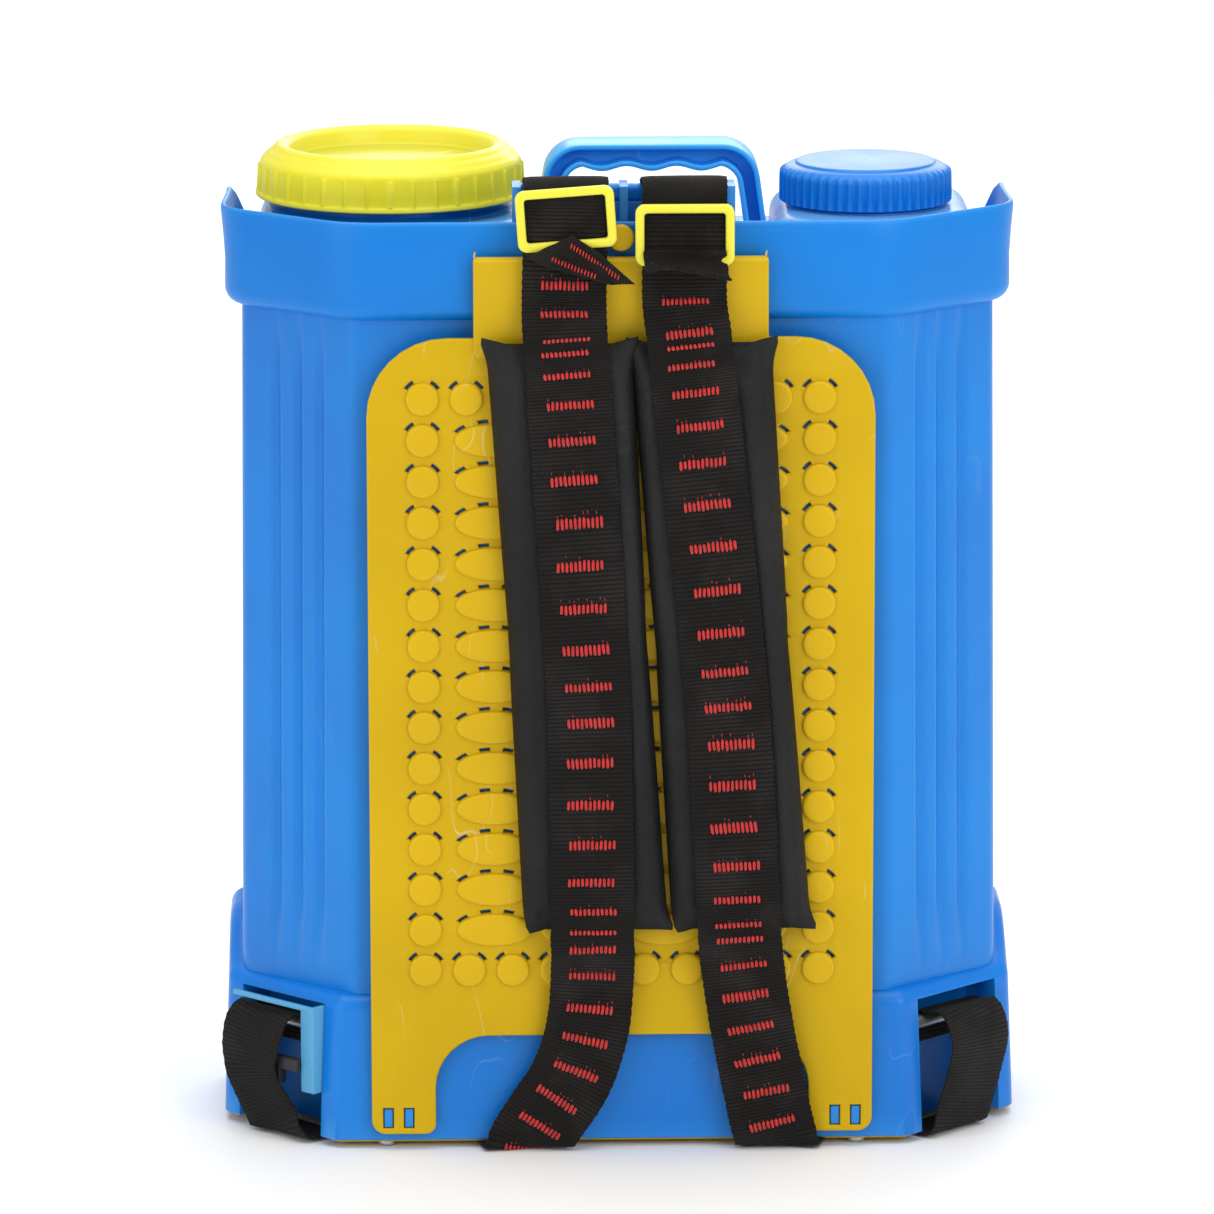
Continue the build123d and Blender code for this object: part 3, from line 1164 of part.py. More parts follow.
def outlet_fitting():
    """Bulkhead fitting in the rear wall that the spray hose pushes onto."""
    seat = BODY_Y + BASE_HALF_DEPTH
    solid = rod_y(11, OUTLET_X, (seat, seat + 3), OUTLET_Z)
    solid += rod_y(7, OUTLET_X, (BODY_Y + 79, seat + 1), OUTLET_Z)
    solid += rod_y(PORT_RADIUS, OUTLET_X, (BODY_Y + 64, BODY_Y + 80), OUTLET_Z)
    solid += rod_y(SPIGOT_RADIUS, OUTLET_X, (seat + 2, seat + 3 + SPIGOT_LENGTH), OUTLET_Z)
    return solid - rod_y(PORT_RADIUS - 1.5, OUTLET_X, (BODY_Y + 60, seat + 20), OUTLET_Z)


def outlet_nut():
    """Hexagon nut of the outlet fitting, inside the rear wall."""
    plane = Plane(origin=(OUTLET_X, BODY_Y + 84, OUTLET_Z), x_dir=(1, 0, 0), z_dir=(0, 1, 0))
    nut = extrude(plane * RegularPolygon(11, 6), amount=6)
    return nut - rod_y(7 + SCREW_GAP, OUTLET_X, (BODY_Y + 82, BODY_Y + 92), OUTLET_Z)


# ------------------------------------------------------------------ control panel
def power_switch():
    """Rocker switch body clipped into the panel, open at the front for the rocker."""
    y = (PANEL_FACE_Y - 22, PANEL_FACE_Y)
    body = block((ROCKER_X - 13, ROCKER_X + 13), y, (CONTROL_Z - 10.5, CONTROL_Z + 10.5))
    body += block((ROCKER_X - 15.5, ROCKER_X + 15.5), (PANEL_FACE_Y, PANEL_FACE_Y + 2),
                  (CONTROL_Z - 13, CONTROL_Z + 13))
    body -= block((ROCKER_X - 10.5, ROCKER_X + 10.5), (PANEL_FACE_Y - 14.5, PANEL_FACE_Y + 3),
                  (CONTROL_Z - 8.4, CONTROL_Z + 8.4))
    pivot = PANEL_FACE_Y - 7
    return body - rod_x(1.5 + SHAFT_GAP, (ROCKER_X - 12, ROCKER_X + 12), pivot, CONTROL_Z)


def power_rocker():
    """The rocker, resting tilted in its off position, on two stub pins."""
    pivot = PANEL_FACE_Y - 7
    rocker = block((-10, 10), (-5.5, 9.5), (-6, 6))
    rocker += rod_x(1.5, (-11.8, 11.8), 0, 0)
    return Pos(ROCKER_X, pivot, CONTROL_Z) * Rot(ROCKER_TILT, 0, 0) * rocker


def battery_gauge():
    """Round charge indicator in the panel."""
    body = rod_y(GAUGE_RADIUS - 1.5, GAUGE_X, (PANEL_FACE_Y - 14, PANEL_FACE_Y), CONTROL_Z)
    body += rod_y(GAUGE_RADIUS, GAUGE_X, (PANEL_FACE_Y, PANEL_FACE_Y + 2.5), CONTROL_Z)
    return body - rod_y(GAUGE_RADIUS - 3, GAUGE_X, (PANEL_FACE_Y + 1, PANEL_FACE_Y + 3), CONTROL_Z)


def gauge_lens():
    """Clear window of the charge indicator."""
    return rod_y(GAUGE_RADIUS - 3.05, GAUGE_X, (PANEL_FACE_Y + 1, PANEL_FACE_Y + 2.2), CONTROL_Z)


def speed_control():
    """Rotary pressure control behind the panel, with a bushing through it."""
    inner = BODY_Y + PANEL_IN
    body = block((KNOB_X - 9, KNOB_X + 9), (inner - 13, inner), (CONTROL_Z - 9, CONTROL_Z + 9))
    body += rod_y(4.5, KNOB_X, (inner - 1, PANEL_FACE_Y + 0.8), CONTROL_Z)
    return body - rod_y(3 + SHAFT_GAP, KNOB_X, (inner - 10, PANEL_FACE_Y + 2), CONTROL_Z)


def pressure_knob():
    """Knob with its shaft and a raised pointer."""
    low = PANEL_FACE_Y + 1.3
    knob = rod_y(KNOB_RADIUS, KNOB_X, (low, low + KNOB_HEIGHT - 2), CONTROL_Z)
    for place in PolarLocations(KNOB_RADIUS, 16):
        grip = Rot(90, 0, 0) * place * Cylinder(1.1, KNOB_HEIGHT + 6)
        knob -= Pos(KNOB_X, low + 3, CONTROL_Z) * grip
    knob += block((KNOB_X - 1.5, KNOB_X + 1.5), (low + 1, low + KNOB_HEIGHT), (CONTROL_Z - 6, CONTROL_Z + 12))
    return knob + rod_y(3, KNOB_X, (BODY_Y + PANEL_IN - 9, low + 1), CONTROL_Z)




def charge_socket():
    """Charging jack in the panel, with two ears for its hinged cover."""
    body = rod_y(5.5, SOCKET_X, (PANEL_FACE_Y - 16, PANEL_FACE_Y), CONTROL_Z)
    body += rod_y(SOCKET_RADIUS, SOCKET_X, (PANEL_FACE_Y, PANEL_FACE_Y + 1.6), CONTROL_Z)
    bracket = block((SOCKET_X - 7, SOCKET_X + 7), (PANEL_FACE_Y, PANEL_FACE_Y + 1),
                    (CONTROL_Z + 4, CAP_HINGE_Z + 2.5))
    body += bracket
    for sx in (-1, 1):
        near = SOCKET_X + sx * 4.5
        far = SOCKET_X + sx * 7
        body += block(sorted((near, far)), (PANEL_FACE_Y, CAP_HINGE_Y + 2),
                      (CAP_HINGE_Z - 2.2, CAP_HINGE_Z + 2.5))
    body -= rod_x(HINGE_PIN + SHAFT_GAP, (SOCKET_X - 8, SOCKET_X + 8), CAP_HINGE_Y, CAP_HINGE_Z)
    return body - rod_y(JACK_RADIUS, SOCKET_X, (PANEL_FACE_Y - 9, PANEL_FACE_Y + 2), CONTROL_Z)


def charge_cap():
    """Hinged dust cover of the charging jack."""
    low = PANEL_FACE_Y + 2.0
    cap = rod_y(SOCKET_RADIUS, SOCKET_X, (low, low + 2.4), CONTROL_Z)
    cap += block((SOCKET_X - 4.1, SOCKET_X + 4.1), (low, low + 2.4), (CONTROL_Z + 4, CAP_HINGE_Z))
    cap += rod_x(1.9, (SOCKET_X - 4.1, SOCKET_X + 4.1), CAP_HINGE_Y, CAP_HINGE_Z)
    return cap + rod_x(HINGE_PIN, (SOCKET_X - 6.6, SOCKET_X + 6.6), CAP_HINGE_Y, CAP_HINGE_Z)


# ------------------------------------------------------------------ wiring
def battery_lead():
    """Lead from the battery's tabs to the power switch."""
    start = BATTERY_X - BATTERY[0] / 2 - 8
    rear = PANEL_FACE_Y - 22
    high = TRAY_TOP_Z + 52.5
    points = ((start, BATTERY_Y + BATTERY[1] / 2 - 14, high), (start, BODY_Y + 42, high),
              (ROCKER_X + 5, rear - 14, CONTROL_Z), (ROCKER_X + 5, rear, CONTROL_Z))
    return tube(points, 8, LEAD_RADIUS, 0)


def motor_lead():
    """Lead from the power switch to the motor's end."""
    end = PUMP_REAR_X + MOTOR_LENGTH
    points = ((ROCKER_X - 5, PANEL_FACE_Y - 22, CONTROL_Z), (ROCKER_X - 5, PUMP_Y + 40, CONTROL_Z),
              (end + 9, PUMP_Y + 9, PUMP_Z + 5), (end, PUMP_Y + 9, PUMP_Z + 5))
    return tube(points, 6, LEAD_RADIUS, 0)


NODES = (tank, filler_neck, small_neck, filler_strainer, filler_lid, lid_gasket, lid_breather, small_cap,
         small_cap_gasket,
         carry_handle, handle_screws, strap_anchor, anchor_screws, left_strap, right_strap,
         left_shoulder_pad, right_shoulder_pad, left_buckle, right_buckle, left_strap_tail,
         right_strap_tail, back_plate, plate_stud, base_housing, bottom_tray, tray_screws,
         left_corner_clip, left_strap_bar, right_strap_bar, left_strap_hook, left_corner_strap,
         right_corner_strap, battery, battery_clamp, clamp_screws, pump_cover, pump_diaphragm,
         pump_head, pump_motor, pump_rotor, pump_bracket, pump_bushes, pump_screws, tank_outlet,
         tank_outlet_nut, intake_filter, suction_hose, delivery_hose, outlet_fitting, outlet_nut,
         power_switch, power_rocker, battery_gauge, gauge_lens, speed_control, pressure_knob,
         charge_socket, charge_cap, battery_lead, motor_lead)

os.makedirs("parts", exist_ok=True)
for build in NODES:
    export_step(build(), f"parts/{build.__name__}.step")
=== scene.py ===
"""Looks for the battery knapsack sprayer: finishes, moulded shapes, webbing and pads round the CAD frame.

Sizes in the classes are millimetres, +Z up, with the wearer's side towards -Y. Meshes are written in metres.
"""
import logging
import math
import random
import sys
from dataclasses import dataclass, field
from enum import Enum
from typing import Callable, Optional, Sequence, Union

import bmesh
import bpy
from mathutils import Matrix, Vector, noise

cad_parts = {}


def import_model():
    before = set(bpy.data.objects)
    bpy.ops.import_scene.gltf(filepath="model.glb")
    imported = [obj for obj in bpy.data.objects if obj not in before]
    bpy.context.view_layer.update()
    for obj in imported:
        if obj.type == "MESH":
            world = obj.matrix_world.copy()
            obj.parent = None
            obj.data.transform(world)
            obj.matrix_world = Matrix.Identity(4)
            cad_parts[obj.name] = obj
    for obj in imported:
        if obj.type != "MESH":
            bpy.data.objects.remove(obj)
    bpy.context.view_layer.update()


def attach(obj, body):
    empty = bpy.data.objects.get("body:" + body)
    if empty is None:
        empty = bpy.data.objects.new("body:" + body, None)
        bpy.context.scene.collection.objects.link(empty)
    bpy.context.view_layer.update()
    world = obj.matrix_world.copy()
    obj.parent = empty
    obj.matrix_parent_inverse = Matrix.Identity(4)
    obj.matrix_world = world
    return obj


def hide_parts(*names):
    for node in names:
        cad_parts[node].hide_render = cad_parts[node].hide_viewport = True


LOG = logging.getLogger("sprayer")
MM = 0.001
MID_Y = 5.0            # mid-plane of the tank
DECK_Z = 428.0         # top of the tank between the raised ends
STRAP_Y = -101.5       # plane of the straps where they pass the buckles
PLATE_FRONT_Y = -94.0
PAD_FRONT_Y = -108.5
PAD_STRAP_Y = -109.8
BASE_CUT = (54.5, 53.0)
SEED = 7

Colour = tuple[float, float, float]
Plan = list[tuple[float, float]]
Value = Union["Sock", float, int, tuple]


# ---------------------------------------------------------------- shader expressions
class Sock:
    """One output of a shader node, usable in Python expressions."""

    def __init__(self, graph: "Graph", node: bpy.types.Node, output: Union[int, str] = 0) -> None:
        """Wraps one output of a node of a graph."""
        self.graph = graph
        self.origin = node
        self.socket = node.outputs[output]

    def other(self, output: Union[int, str]) -> "Sock":
        """Another output of the same node."""
        return Sock(self.graph, self.origin, output)

    def maths(self, operation: str, first: Value, second: Value = 0.0) -> "Sock":
        """A Math node on two values."""
        return self.graph.node("ShaderNodeMath", {"operation": operation}, {0: first, 1: second})

    def __add__(self, other: Value) -> "Sock":
        """self + other."""
        return self.maths("ADD", self, other)

    def __radd__(self, other: Value) -> "Sock":
        """other + self."""
        return self.maths("ADD", other, self)

    def __sub__(self, other: Value) -> "Sock":
        """self - other."""
        return self.maths("SUBTRACT", self, other)

    def __rsub__(self, other: Value) -> "Sock":
        """other - self."""
        return self.maths("SUBTRACT", other, self)

    def __mul__(self, other: Value) -> "Sock":
        """self * other."""
        return self.maths("MULTIPLY", self, other)

    def __rmul__(self, other: Value) -> "Sock":
        """other * self."""
        return self.maths("MULTIPLY", other, self)

    def __truediv__(self, other: Value) -> "Sock":
        """self / other."""
        return self.maths("DIVIDE", self, other)

    def __pow__(self, other: Value) -> "Sock":
        """self to a power."""
        return self.maths("POWER", self, other)

    def __abs__(self) -> "Sock":
        """Magnitude."""
        return self.maths("ABSOLUTE", self)

    def floor(self) -> "Sock":
        """Whole part."""
        return self.maths("FLOOR", self)

    def sine(self) -> "Sock":
        """Sine of an angle in radians."""
        return self.maths("SINE", self)

    def clipped(self) -> "Sock":
        """The value kept between 0 and 1."""
        return self.graph.node("ShaderNodeClamp", {}, {"Value": self})


class Graph:
    """The node tree of one finish, round a Principled shader."""

    def __init__(self, name: str) -> None:
        """Makes an empty material with its shader."""
        self.material = bpy.data.materials.new(name)
        self.material.use_nodes = True
        self.tree = self.material.node_tree
        self.shader = self.tree.nodes["Principled BSDF"]

    def node(self, kind: str, settings: dict, values: dict, output: Union[int, str] = 0) -> Sock:
        """Adds a node.

        Args:
            kind: Blender's name of the node type.
            settings: properties of the node, set first.
            values: numbers, colours or Socks for its inputs, by name or number.
            output: the output to return.

        Returns:
            The wanted output of the new node.
        """
        made = self.tree.nodes.new(kind)
        for key, value in settings.items():
            setattr(made, key, value)
        for key, value in values.items():
            if isinstance(value, Sock):
                self.tree.links.new(value.socket, made.inputs[key])
            else:
                made.inputs[key].default_value = value
        return Sock(self, made, output)

    def place(self, stretch: Colour = (1.0, 1.0, 1.0)) -> Sock:
        """Object coordinates, squeezed by a factor on each axis."""
        where = self.node("ShaderNodeTexCoord", {}, {}, "Object")
        return self.node("ShaderNodeVectorMath", {"operation": "MULTIPLY"}, {0: where, 1: stretch})

    def noise(self, where: Sock, scale: float, detail: float = 2.0, rough: float = 0.5) -> Sock:
        """Fractal noise between 0 and 1."""
        return self.node("ShaderNodeTexNoise", {}, {"Vector": where, "Scale": scale, "Detail": detail,
                                                    "Roughness": rough})

    def mix(self, factor: Value, first: Value, second: Value) -> Sock:
        """A blend of two colours."""
        values = {0: factor, 6: opaque(first), 7: opaque(second)}
        return self.node("ShaderNodeMix", {"data_type": "RGBA"}, values, 2)

    def edges(self, start: float = 0.52, gain: float = 9.0) -> Sock:
        """1 on outward edges, 0 on flat ground."""
        bent = self.node("ShaderNodeNewGeometry", {}, {}, "Pointiness")
        return ((bent - start) * gain).clipped()

    def cloth(self, output: int) -> Sock:
        """Millimetres across (0) or along (1) a woven band."""
        run = self.node("ShaderNodeAttribute", {"attribute_name": "cloth"}, {}, "Vector")
        return self.node("ShaderNodeSeparateXYZ", {}, {"Vector": run}, output)

    def bump(self, height: Sock, strength: float, depth_mm: float) -> Sock:
        """A normal bent by a height."""
        return self.node("ShaderNodeBump", {}, {"Height": height, "Strength": strength, "Distance": depth_mm * MM})

    def dress(self, constants: dict, **links: Sock) -> bpy.types.Material:
        """Sets the shader's own sockets.

        Args:
            constants: numbers and colours by socket name.
            links: Socks for base_color, roughness, normal and the like.

        Returns:
            The finished material.
        """
        for key, value in constants.items():
            self.shader.inputs[key].default_value = value
        for key, value in links.items():
            self.tree.links.new(value.socket, self.shader.inputs[key.replace("_", " ").title()])
        return self.material


def opaque(colour: Value) -> Value:
    """A colour with its alpha, or the Sock as it is."""
    return colour if isinstance(colour, Sock) else (*colour, 1.0)


# ---------------------------------------------------------------- finishes
@dataclass(frozen=True)
class MouldedPlastic:
    """Moulded polyolefin: drifting tint, painted highlight on convex edges, hairline scuffs and a fine skin."""

    name: str
    colour: Colour
    shade: Colour
    # edge: colour of the painted highlight laid on convex edges
    edge: Colour
    roughness: float = 0.34
    glow: float = 0.12
    wear: float = 0.5
    streaks: float = 0.0
    skin: float = 0.25
    shine: float = 0.32

    def material(self) -> bpy.types.Material:
        """Builds the shader."""
        g = Graph(self.name)
        where = g.place()
        drift = g.noise(where, 9.0, 3.0)
        tint = ((drift - 0.38) * 3.2).clipped()
        if self.streaks:
            tall = g.noise(g.place((1.0, 1.0, 0.05)), 55.0, 3.0)
            tint = (tint + (tall - 0.5) * self.streaks).clipped()
        colour = g.mix(tint, self.colour, self.shade)
        # painted highlight: convex edges, found by pointiness, blended towards the edge colour
        colour = g.mix(g.edges() * 0.6, colour, self.edge)
        patch = ((g.noise(where, 21.0, 2.0) - 0.56) * 9.0).clipped()
        hair = (1.0 - abs(g.noise(g.place((1.0, 1.0, 0.35)), 46.0, 1.0) - 0.5) * 150.0).clipped()
        scuff = hair * patch * self.wear
        colour = g.mix(scuff, colour, (0.92, 0.92, 0.88))
        fine = g.noise(where, 900.0, 3.0)
        rough = self.roughness + (g.noise(where, 34.0, 4.0) - 0.5) * 0.16 + scuff * 0.2
        normal = g.bump(fine * self.skin + g.noise(where, 30.0, 2.0) * 1.5 - scuff * 0.4, 0.35, 0.25)
        return g.dress({"Subsurface Weight": self.glow, "Subsurface Radius": (1.0, 1.0, 1.0),
                        "Subsurface Scale": 0.006, "Specular IOR Level": self.shine},
                       base_color=colour, roughness=rough, normal=normal)


class Weave(Enum):
    """How a band of webbing is woven."""

    RIBBED = "ribbed"
    HERRINGBONE = "herringbone"


@dataclass(frozen=True)
class Webbing:
    """Black woven polypropylene webbing, its yarns laid out along the band."""

    name: str
    weave: Weave
    yarn: Colour = (0.014, 0.0115, 0.0100)
    # valley_shade: painted shade for the valleys between the yarns
    valley_shade: Colour = (0.002, 0.002, 0.002)

    def material(self) -> bpy.types.Material:
        """Builds the shader."""
        g = Graph(self.name)
        across = g.cloth(0)
        along = g.cloth(1)
        if self.weave is Weave.HERRINGBONE:
            fold = abs(across / 8.0 - (across / 8.0).floor() - 0.5) * 9.0
            row = (along + fold) / 1.5
            column = across / 1.1
        else:
            row = along / 1.75
            column = across / 1.3
        rib = abs((row * math.pi).sine())
        stitch = abs(((column + row.floor() * 0.5) * math.pi).sine())
        height = rib ** 0.6 * (stitch * 0.45 + 0.55)
        fuzz = g.noise(g.place(), 1300.0, 3.0)
        worn = ((g.noise(g.place(), 40.0, 3.0) - 0.45) * 2.5).clipped()
        yarn = g.mix(worn * 0.7, self.yarn, (0.048, 0.043, 0.040))
        # painted shade: where the weave height is low, between the yarns, the colour blends towards the darker valley
        # colour
        colour = g.mix((height * 1.15 - 0.12).clipped(), self.valley_shade, yarn)
        rough = 0.62 + fuzz * 0.3
        normal = g.bump(height + fuzz * 0.25, 0.9, 0.55)
        return g.dress({"Sheen Weight": 0.04, "Sheen Roughness": 0.5, "Specular IOR Level": 0.13},
                       base_color=colour, roughness=rough, normal=normal)


@dataclass(frozen=True)
class Vinyl:
    """Black coated fabric over foam, with a leather grain and soft creases; its lighter patches, crease lines and edges
    are painted sheen and highlight.
    """

    name: str
    colour: Colour = (0.0045, 0.0045, 0.0045)
    sheen_highlight: Colour = (0.026, 0.026, 0.027)

    def material(self) -> bpy.types.Material:
        """Builds the shader."""
        g = Graph(self.name)
        where = g.place()
        grain = g.node("ShaderNodeTexVoronoi", {"feature": "DISTANCE_TO_EDGE"}, {"Vector": where, "Scale": 900.0})
        folds = g.noise(g.place((1.0, 1.0, 0.22)), 60.0, 4.0, 0.6)
        cross = g.noise(g.place((0.3, 1.0, 1.0)), 70.0, 3.0)
        lines = (1.0 - abs(cross - 0.5) * 40.0).clipped() * ((folds - 0.5) * 5.0).clipped()
        # painted sheen: lighter, glossier patches
        shine = ((g.noise(where, 16.0, 3.0) - 0.4) * 3.0).clipped()
        # painted highlight: sheen patches, crease lines and convex edges blended towards the lighter sheen colour
        colour = g.mix(shine * 0.35 + lines * 0.3, self.colour, self.sheen_highlight)
        colour = g.mix(g.edges(0.53, 7.0) * 0.5, colour, self.sheen_highlight)
        rough = 0.5 - shine * 0.1 + g.noise(where, 240.0, 2.0) * 0.12
        normal = g.bump(grain * 4.0 + folds * 2.2 + lines * 0.5, 0.4, 0.4)
        return g.dress({"Specular IOR Level": 0.28}, base_color=colour, roughness=rough, normal=normal)


@dataclass(frozen=True)
class Thread:
    """Bright sewing thread with its twist."""

    name: str
    colour: Colour = (0.62, 0.012, 0.010)
    dark: Colour = (0.30, 0.006, 0.006)

    def material(self) -> bpy.types.Material:
        """Builds the shader."""
        g = Graph(self.name)
        twist = g.node("ShaderNodeTexWave", {"bands_direction": "DIAGONAL"},
                       {"Vector": g.place(), "Scale": 520.0, "Distortion": 1.5}, "Fac")
        patch = g.noise(g.place(), 160.0, 2.0)
        colour = g.mix((twist * 0.5 + (patch - 0.5) * 1.6).clipped(), self.colour, self.dark)
        return g.dress({"Sheen Weight": 0.2}, base_color=colour, roughness=0.5 + patch * 0.2,
                       normal=g.bump(twist, 0.5, 0.12))


@dataclass(frozen=True)
class Rubber:
    """Matte black rubber or textured plastic."""

    name: str
    colour: Colour = (0.016, 0.016, 0.017)
    roughness: float = 0.55
    grain: float = 1.0

    def material(self) -> bpy.types.Material:
        """Builds the shader."""
        g = Graph(self.name)
        where = g.place()
        cloud = g.noise(where, 45.0, 4.0)
        # random cloudy tone plus painted highlight on convex edges, both blended towards a paler colour
        pale = tuple(min(1.0, c * 2.2 + 0.02) for c in self.colour)
        colour = g.mix((cloud - 0.4) * 0.6 + g.edges() * 0.4, self.colour, pale)
        bumps = g.noise(where, 1400.0, 2.0)
        return g.dress({"Specular IOR Level": 0.35}, base_color=colour,
                       roughness=self.roughness + (cloud - 0.5) * 0.2,
                       normal=g.bump(bumps * self.grain, 0.4, 0.2))


@dataclass(frozen=True)
class Metal:
    """Plated steel with brushing and dull spots."""

    name: str
    colour: Colour = (0.60, 0.60, 0.59)
    roughness: float = 0.3

    def material(self) -> bpy.types.Material:
        """Builds the shader."""
        g = Graph(self.name)
        brushed = g.noise(g.place((1.0, 1.0, 0.04)), 700.0, 3.0)
        spots = ((g.noise(g.place(), 60.0, 4.0) - 0.5) * 3.0).clipped()
        colour = g.mix(spots * 0.5, self.colour, tuple(c * 0.62 for c in self.colour))
        return g.dress({"Metallic": 1.0}, base_color=colour, roughness=self.roughness + spots * 0.2 + brushed * 0.1,
                       normal=g.bump(brushed, 0.2, 0.08))


@dataclass(frozen=True)
class ClearPlastic:
    """Clear hose or window, faintly clouded."""

    name: str
    colour: Colour = (0.85, 0.9, 0.88)

    def material(self) -> bpy.types.Material:
        """Builds the shader."""
        g = Graph(self.name)
        cloud = g.noise(g.place(), 60.0, 3.0)
        colour = g.mix(cloud, self.colour, tuple(c * 0.8 for c in self.colour))
        return g.dress({"Transmission Weight": 0.75, "IOR": 1.45}, base_color=colour,
                       roughness=0.08 + cloud * 0.25, normal=g.bump(cloud, 0.15, 0.2))


class Finish(Enum):
    """Every finish of the sprayer, with the material slot that it stands for."""

    # For each moulded plastic the third colour is its painted highlight on convex edges.
    TANK = ("tank_blue", MouldedPlastic("tank_polyethylene", (0.004, 0.225, 0.70), (0.008, 0.185, 0.63),
                                        (0.05, 0.36, 0.85), 0.34, 0.15, 0.04, 0.5))
    COLLAR = ("tank_blue", MouldedPlastic("collar_polyethylene", (0.002, 0.215, 0.68), (0.002, 0.180, 0.62),
                                          (0.08, 0.42, 0.90), 0.38, 0.15, 0.04, shine=0.26))
    # painted highlight: a paler copy of the tank plastic for everything above the deck
    TOP_HIGHLIGHT = ("tank_blue", MouldedPlastic("tank_top_highlight_polyethylene", (0.12, 0.36, 0.72), (0.06, 0.28, 0.70),
                                        (0.45, 0.66, 0.9), 0.26, 0.2, 0.5))
    BLUE = ("cap_blue", MouldedPlastic("blue_polypropylene", (0.002, 0.205, 0.70), (0.002, 0.165, 0.61),
                                       (0.07, 0.38, 0.86), 0.33, 0.1, 0.08))
    GRIP = ("cap_blue", MouldedPlastic("grip_polypropylene", (0.04, 0.42, 0.95), (0.03, 0.37, 0.90),
                                       (0.22, 0.58, 0.95), 0.34, 0.12, 0.3))
    LID = ("lid_yellow", MouldedPlastic("lid_polypropylene", (0.90, 0.81, 0.055), (0.82, 0.75, 0.05),
                                        (0.95, 0.88, 0.2), 0.32, 0.2, 0.1))
    # painted shade: a darker copy of the lid plastic for the side-facing skirt
    SHADED_SKIRT = ("lid_yellow", MouldedPlastic("lid_skirt_shaded_polypropylene", (0.76, 0.69, 0.016), (0.82, 0.75, 0.02),
                                          (0.84, 0.80, 0.16), 0.36, 0.2, 0.1))
    PLATE = ("plate_yellow", MouldedPlastic("plate_polypropylene", (0.64, 0.41, 0.003), (0.57, 0.365, 0.003),
                                            (0.76, 0.55, 0.05), 0.42, 0.06, 0.3, shine=0.16))
    BUTTON = ("plate_yellow", MouldedPlastic("button_polypropylene", (0.69, 0.435, 0.002), (0.62, 0.39, 0.003),
                                             (0.82, 0.60, 0.05), 0.38, 0.06, 0.2, shine=0.2))
    CLIP = ("clip_light_blue", MouldedPlastic("clip_plastic", (0.055, 0.31, 0.57), (0.045, 0.27, 0.50),
                                              (0.22, 0.56, 0.80), 0.4, 0.1, 0.2))
    DISC = ("lid_yellow", MouldedPlastic("lid_disc_polypropylene", (0.66, 0.62, 0.035), (0.60, 0.58, 0.035),
                                         (0.92, 0.86, 0.2), 0.34, 0.2, 0.1))
    STRAINER = ("strainer_white", MouldedPlastic("strainer_polypropylene", (0.76, 0.77, 0.74), (0.68, 0.69, 0.66),
                                                 (0.9, 0.9, 0.88), 0.4, 0.2, 0.1))
    BLACK = ("black_plastic", Rubber("textured_black_plastic"))
    RIBBED = ("webbing", Webbing("ribbed_webbing", Weave.RIBBED))
    HERRINGBONE = ("webbing", Webbing("herringbone_webbing", Weave.HERRINGBONE))
    THREAD = ("webbing", Thread("red_thread"))
    VINYL = ("pad_vinyl", Vinyl("pad_vinyl_cloth"))
    RUBBER = ("rubber", Rubber("seal_rubber", (0.02, 0.02, 0.02), 0.7, 0.6))
    STEEL = ("steel", Metal("plated_steel", (0.55, 0.55, 0.56), 0.28))
    ZINC = ("zinc_plate", Metal("zinc_sheet", (0.66, 0.67, 0.68), 0.38))
    HOSE = ("hose_clear", ClearPlastic("clear_hose"))
    LENS = ("gauge_clear", ClearPlastic("gauge_window", (0.8, 0.86, 0.88)))
    RED = ("switch_red", MouldedPlastic("red_switch_plastic", (0.42, 0.010, 0.008), (0.34, 0.008, 0.006),
                                        (0.6, 0.05, 0.04), 0.25, 0.05, 0.2))
    WIRE = ("wire_black", Rubber("lead_sheath", (0.018, 0.018, 0.018), 0.45, 0.3))

    @property
    def slot(self) -> str:
        """The record's material slot."""
        return self.value[0]


class Paintbox:
    """Makes each finish's material once."""

    def __init__(self) -> None:
        """Starts empty."""
        self.made: dict[Finish, bpy.types.Material] = {}

    def __getitem__(self, finish: Finish) -> bpy.types.Material:
        """The material of a finish."""
        if finish not in self.made:
            self.made[finish] = finish.value[1].material()
        return self.made[finish]


PAINT = Paintbox()


# ---------------------------------------------------------------- shared mesh work
def lerp(first: float, second: float, share: float) -> float:
    """A value between two others."""
    return first + (second - first) * share


def smooth(share: float) -> float:
    """An ease from 0 to 1."""
    share = min(1.0, max(0.0, share))
    return share * share * (3 - 2 * share)


def rounded(points: Sequence[tuple[float, float, float]], steps: int = 6) -> Plan:
    """A closed outline with rounded corners.

    Args:
        points: corners as (x, y, radius), anticlockwise.
        steps: points per rounded corner.

    Returns:
        The outline's points.
    """
    outline: Plan = []
    count = len(points)
    for i, (x, y, radius) in enumerate(points):
        here = Vector((x, y))
        before = (Vector(points[i - 1][:2]) - here).normalized()
        after = (Vector(points[(i + 1) % count][:2]) - here).normalized()
        if radius <= 0:
            outline.append((x, y))
            continue
        half = before.angle(after) / 2
        centre = here + (before + after).normalized() * (radius / math.sin(half))
        start = here + before * (radius / math.tan(half)) - centre
        end = here + after * (radius / math.tan(half)) - centre
        first = math.atan2(start.y, start.x)
        sweep = (math.atan2(end.y, end.x) - first + math.pi) % math.tau - math.pi
        for step in range(steps + 1):
            angle = first + sweep * step / steps
            outline.append((centre.x + radius * math.cos(angle), centre.y + radius * math.sin(angle)))
    return outline


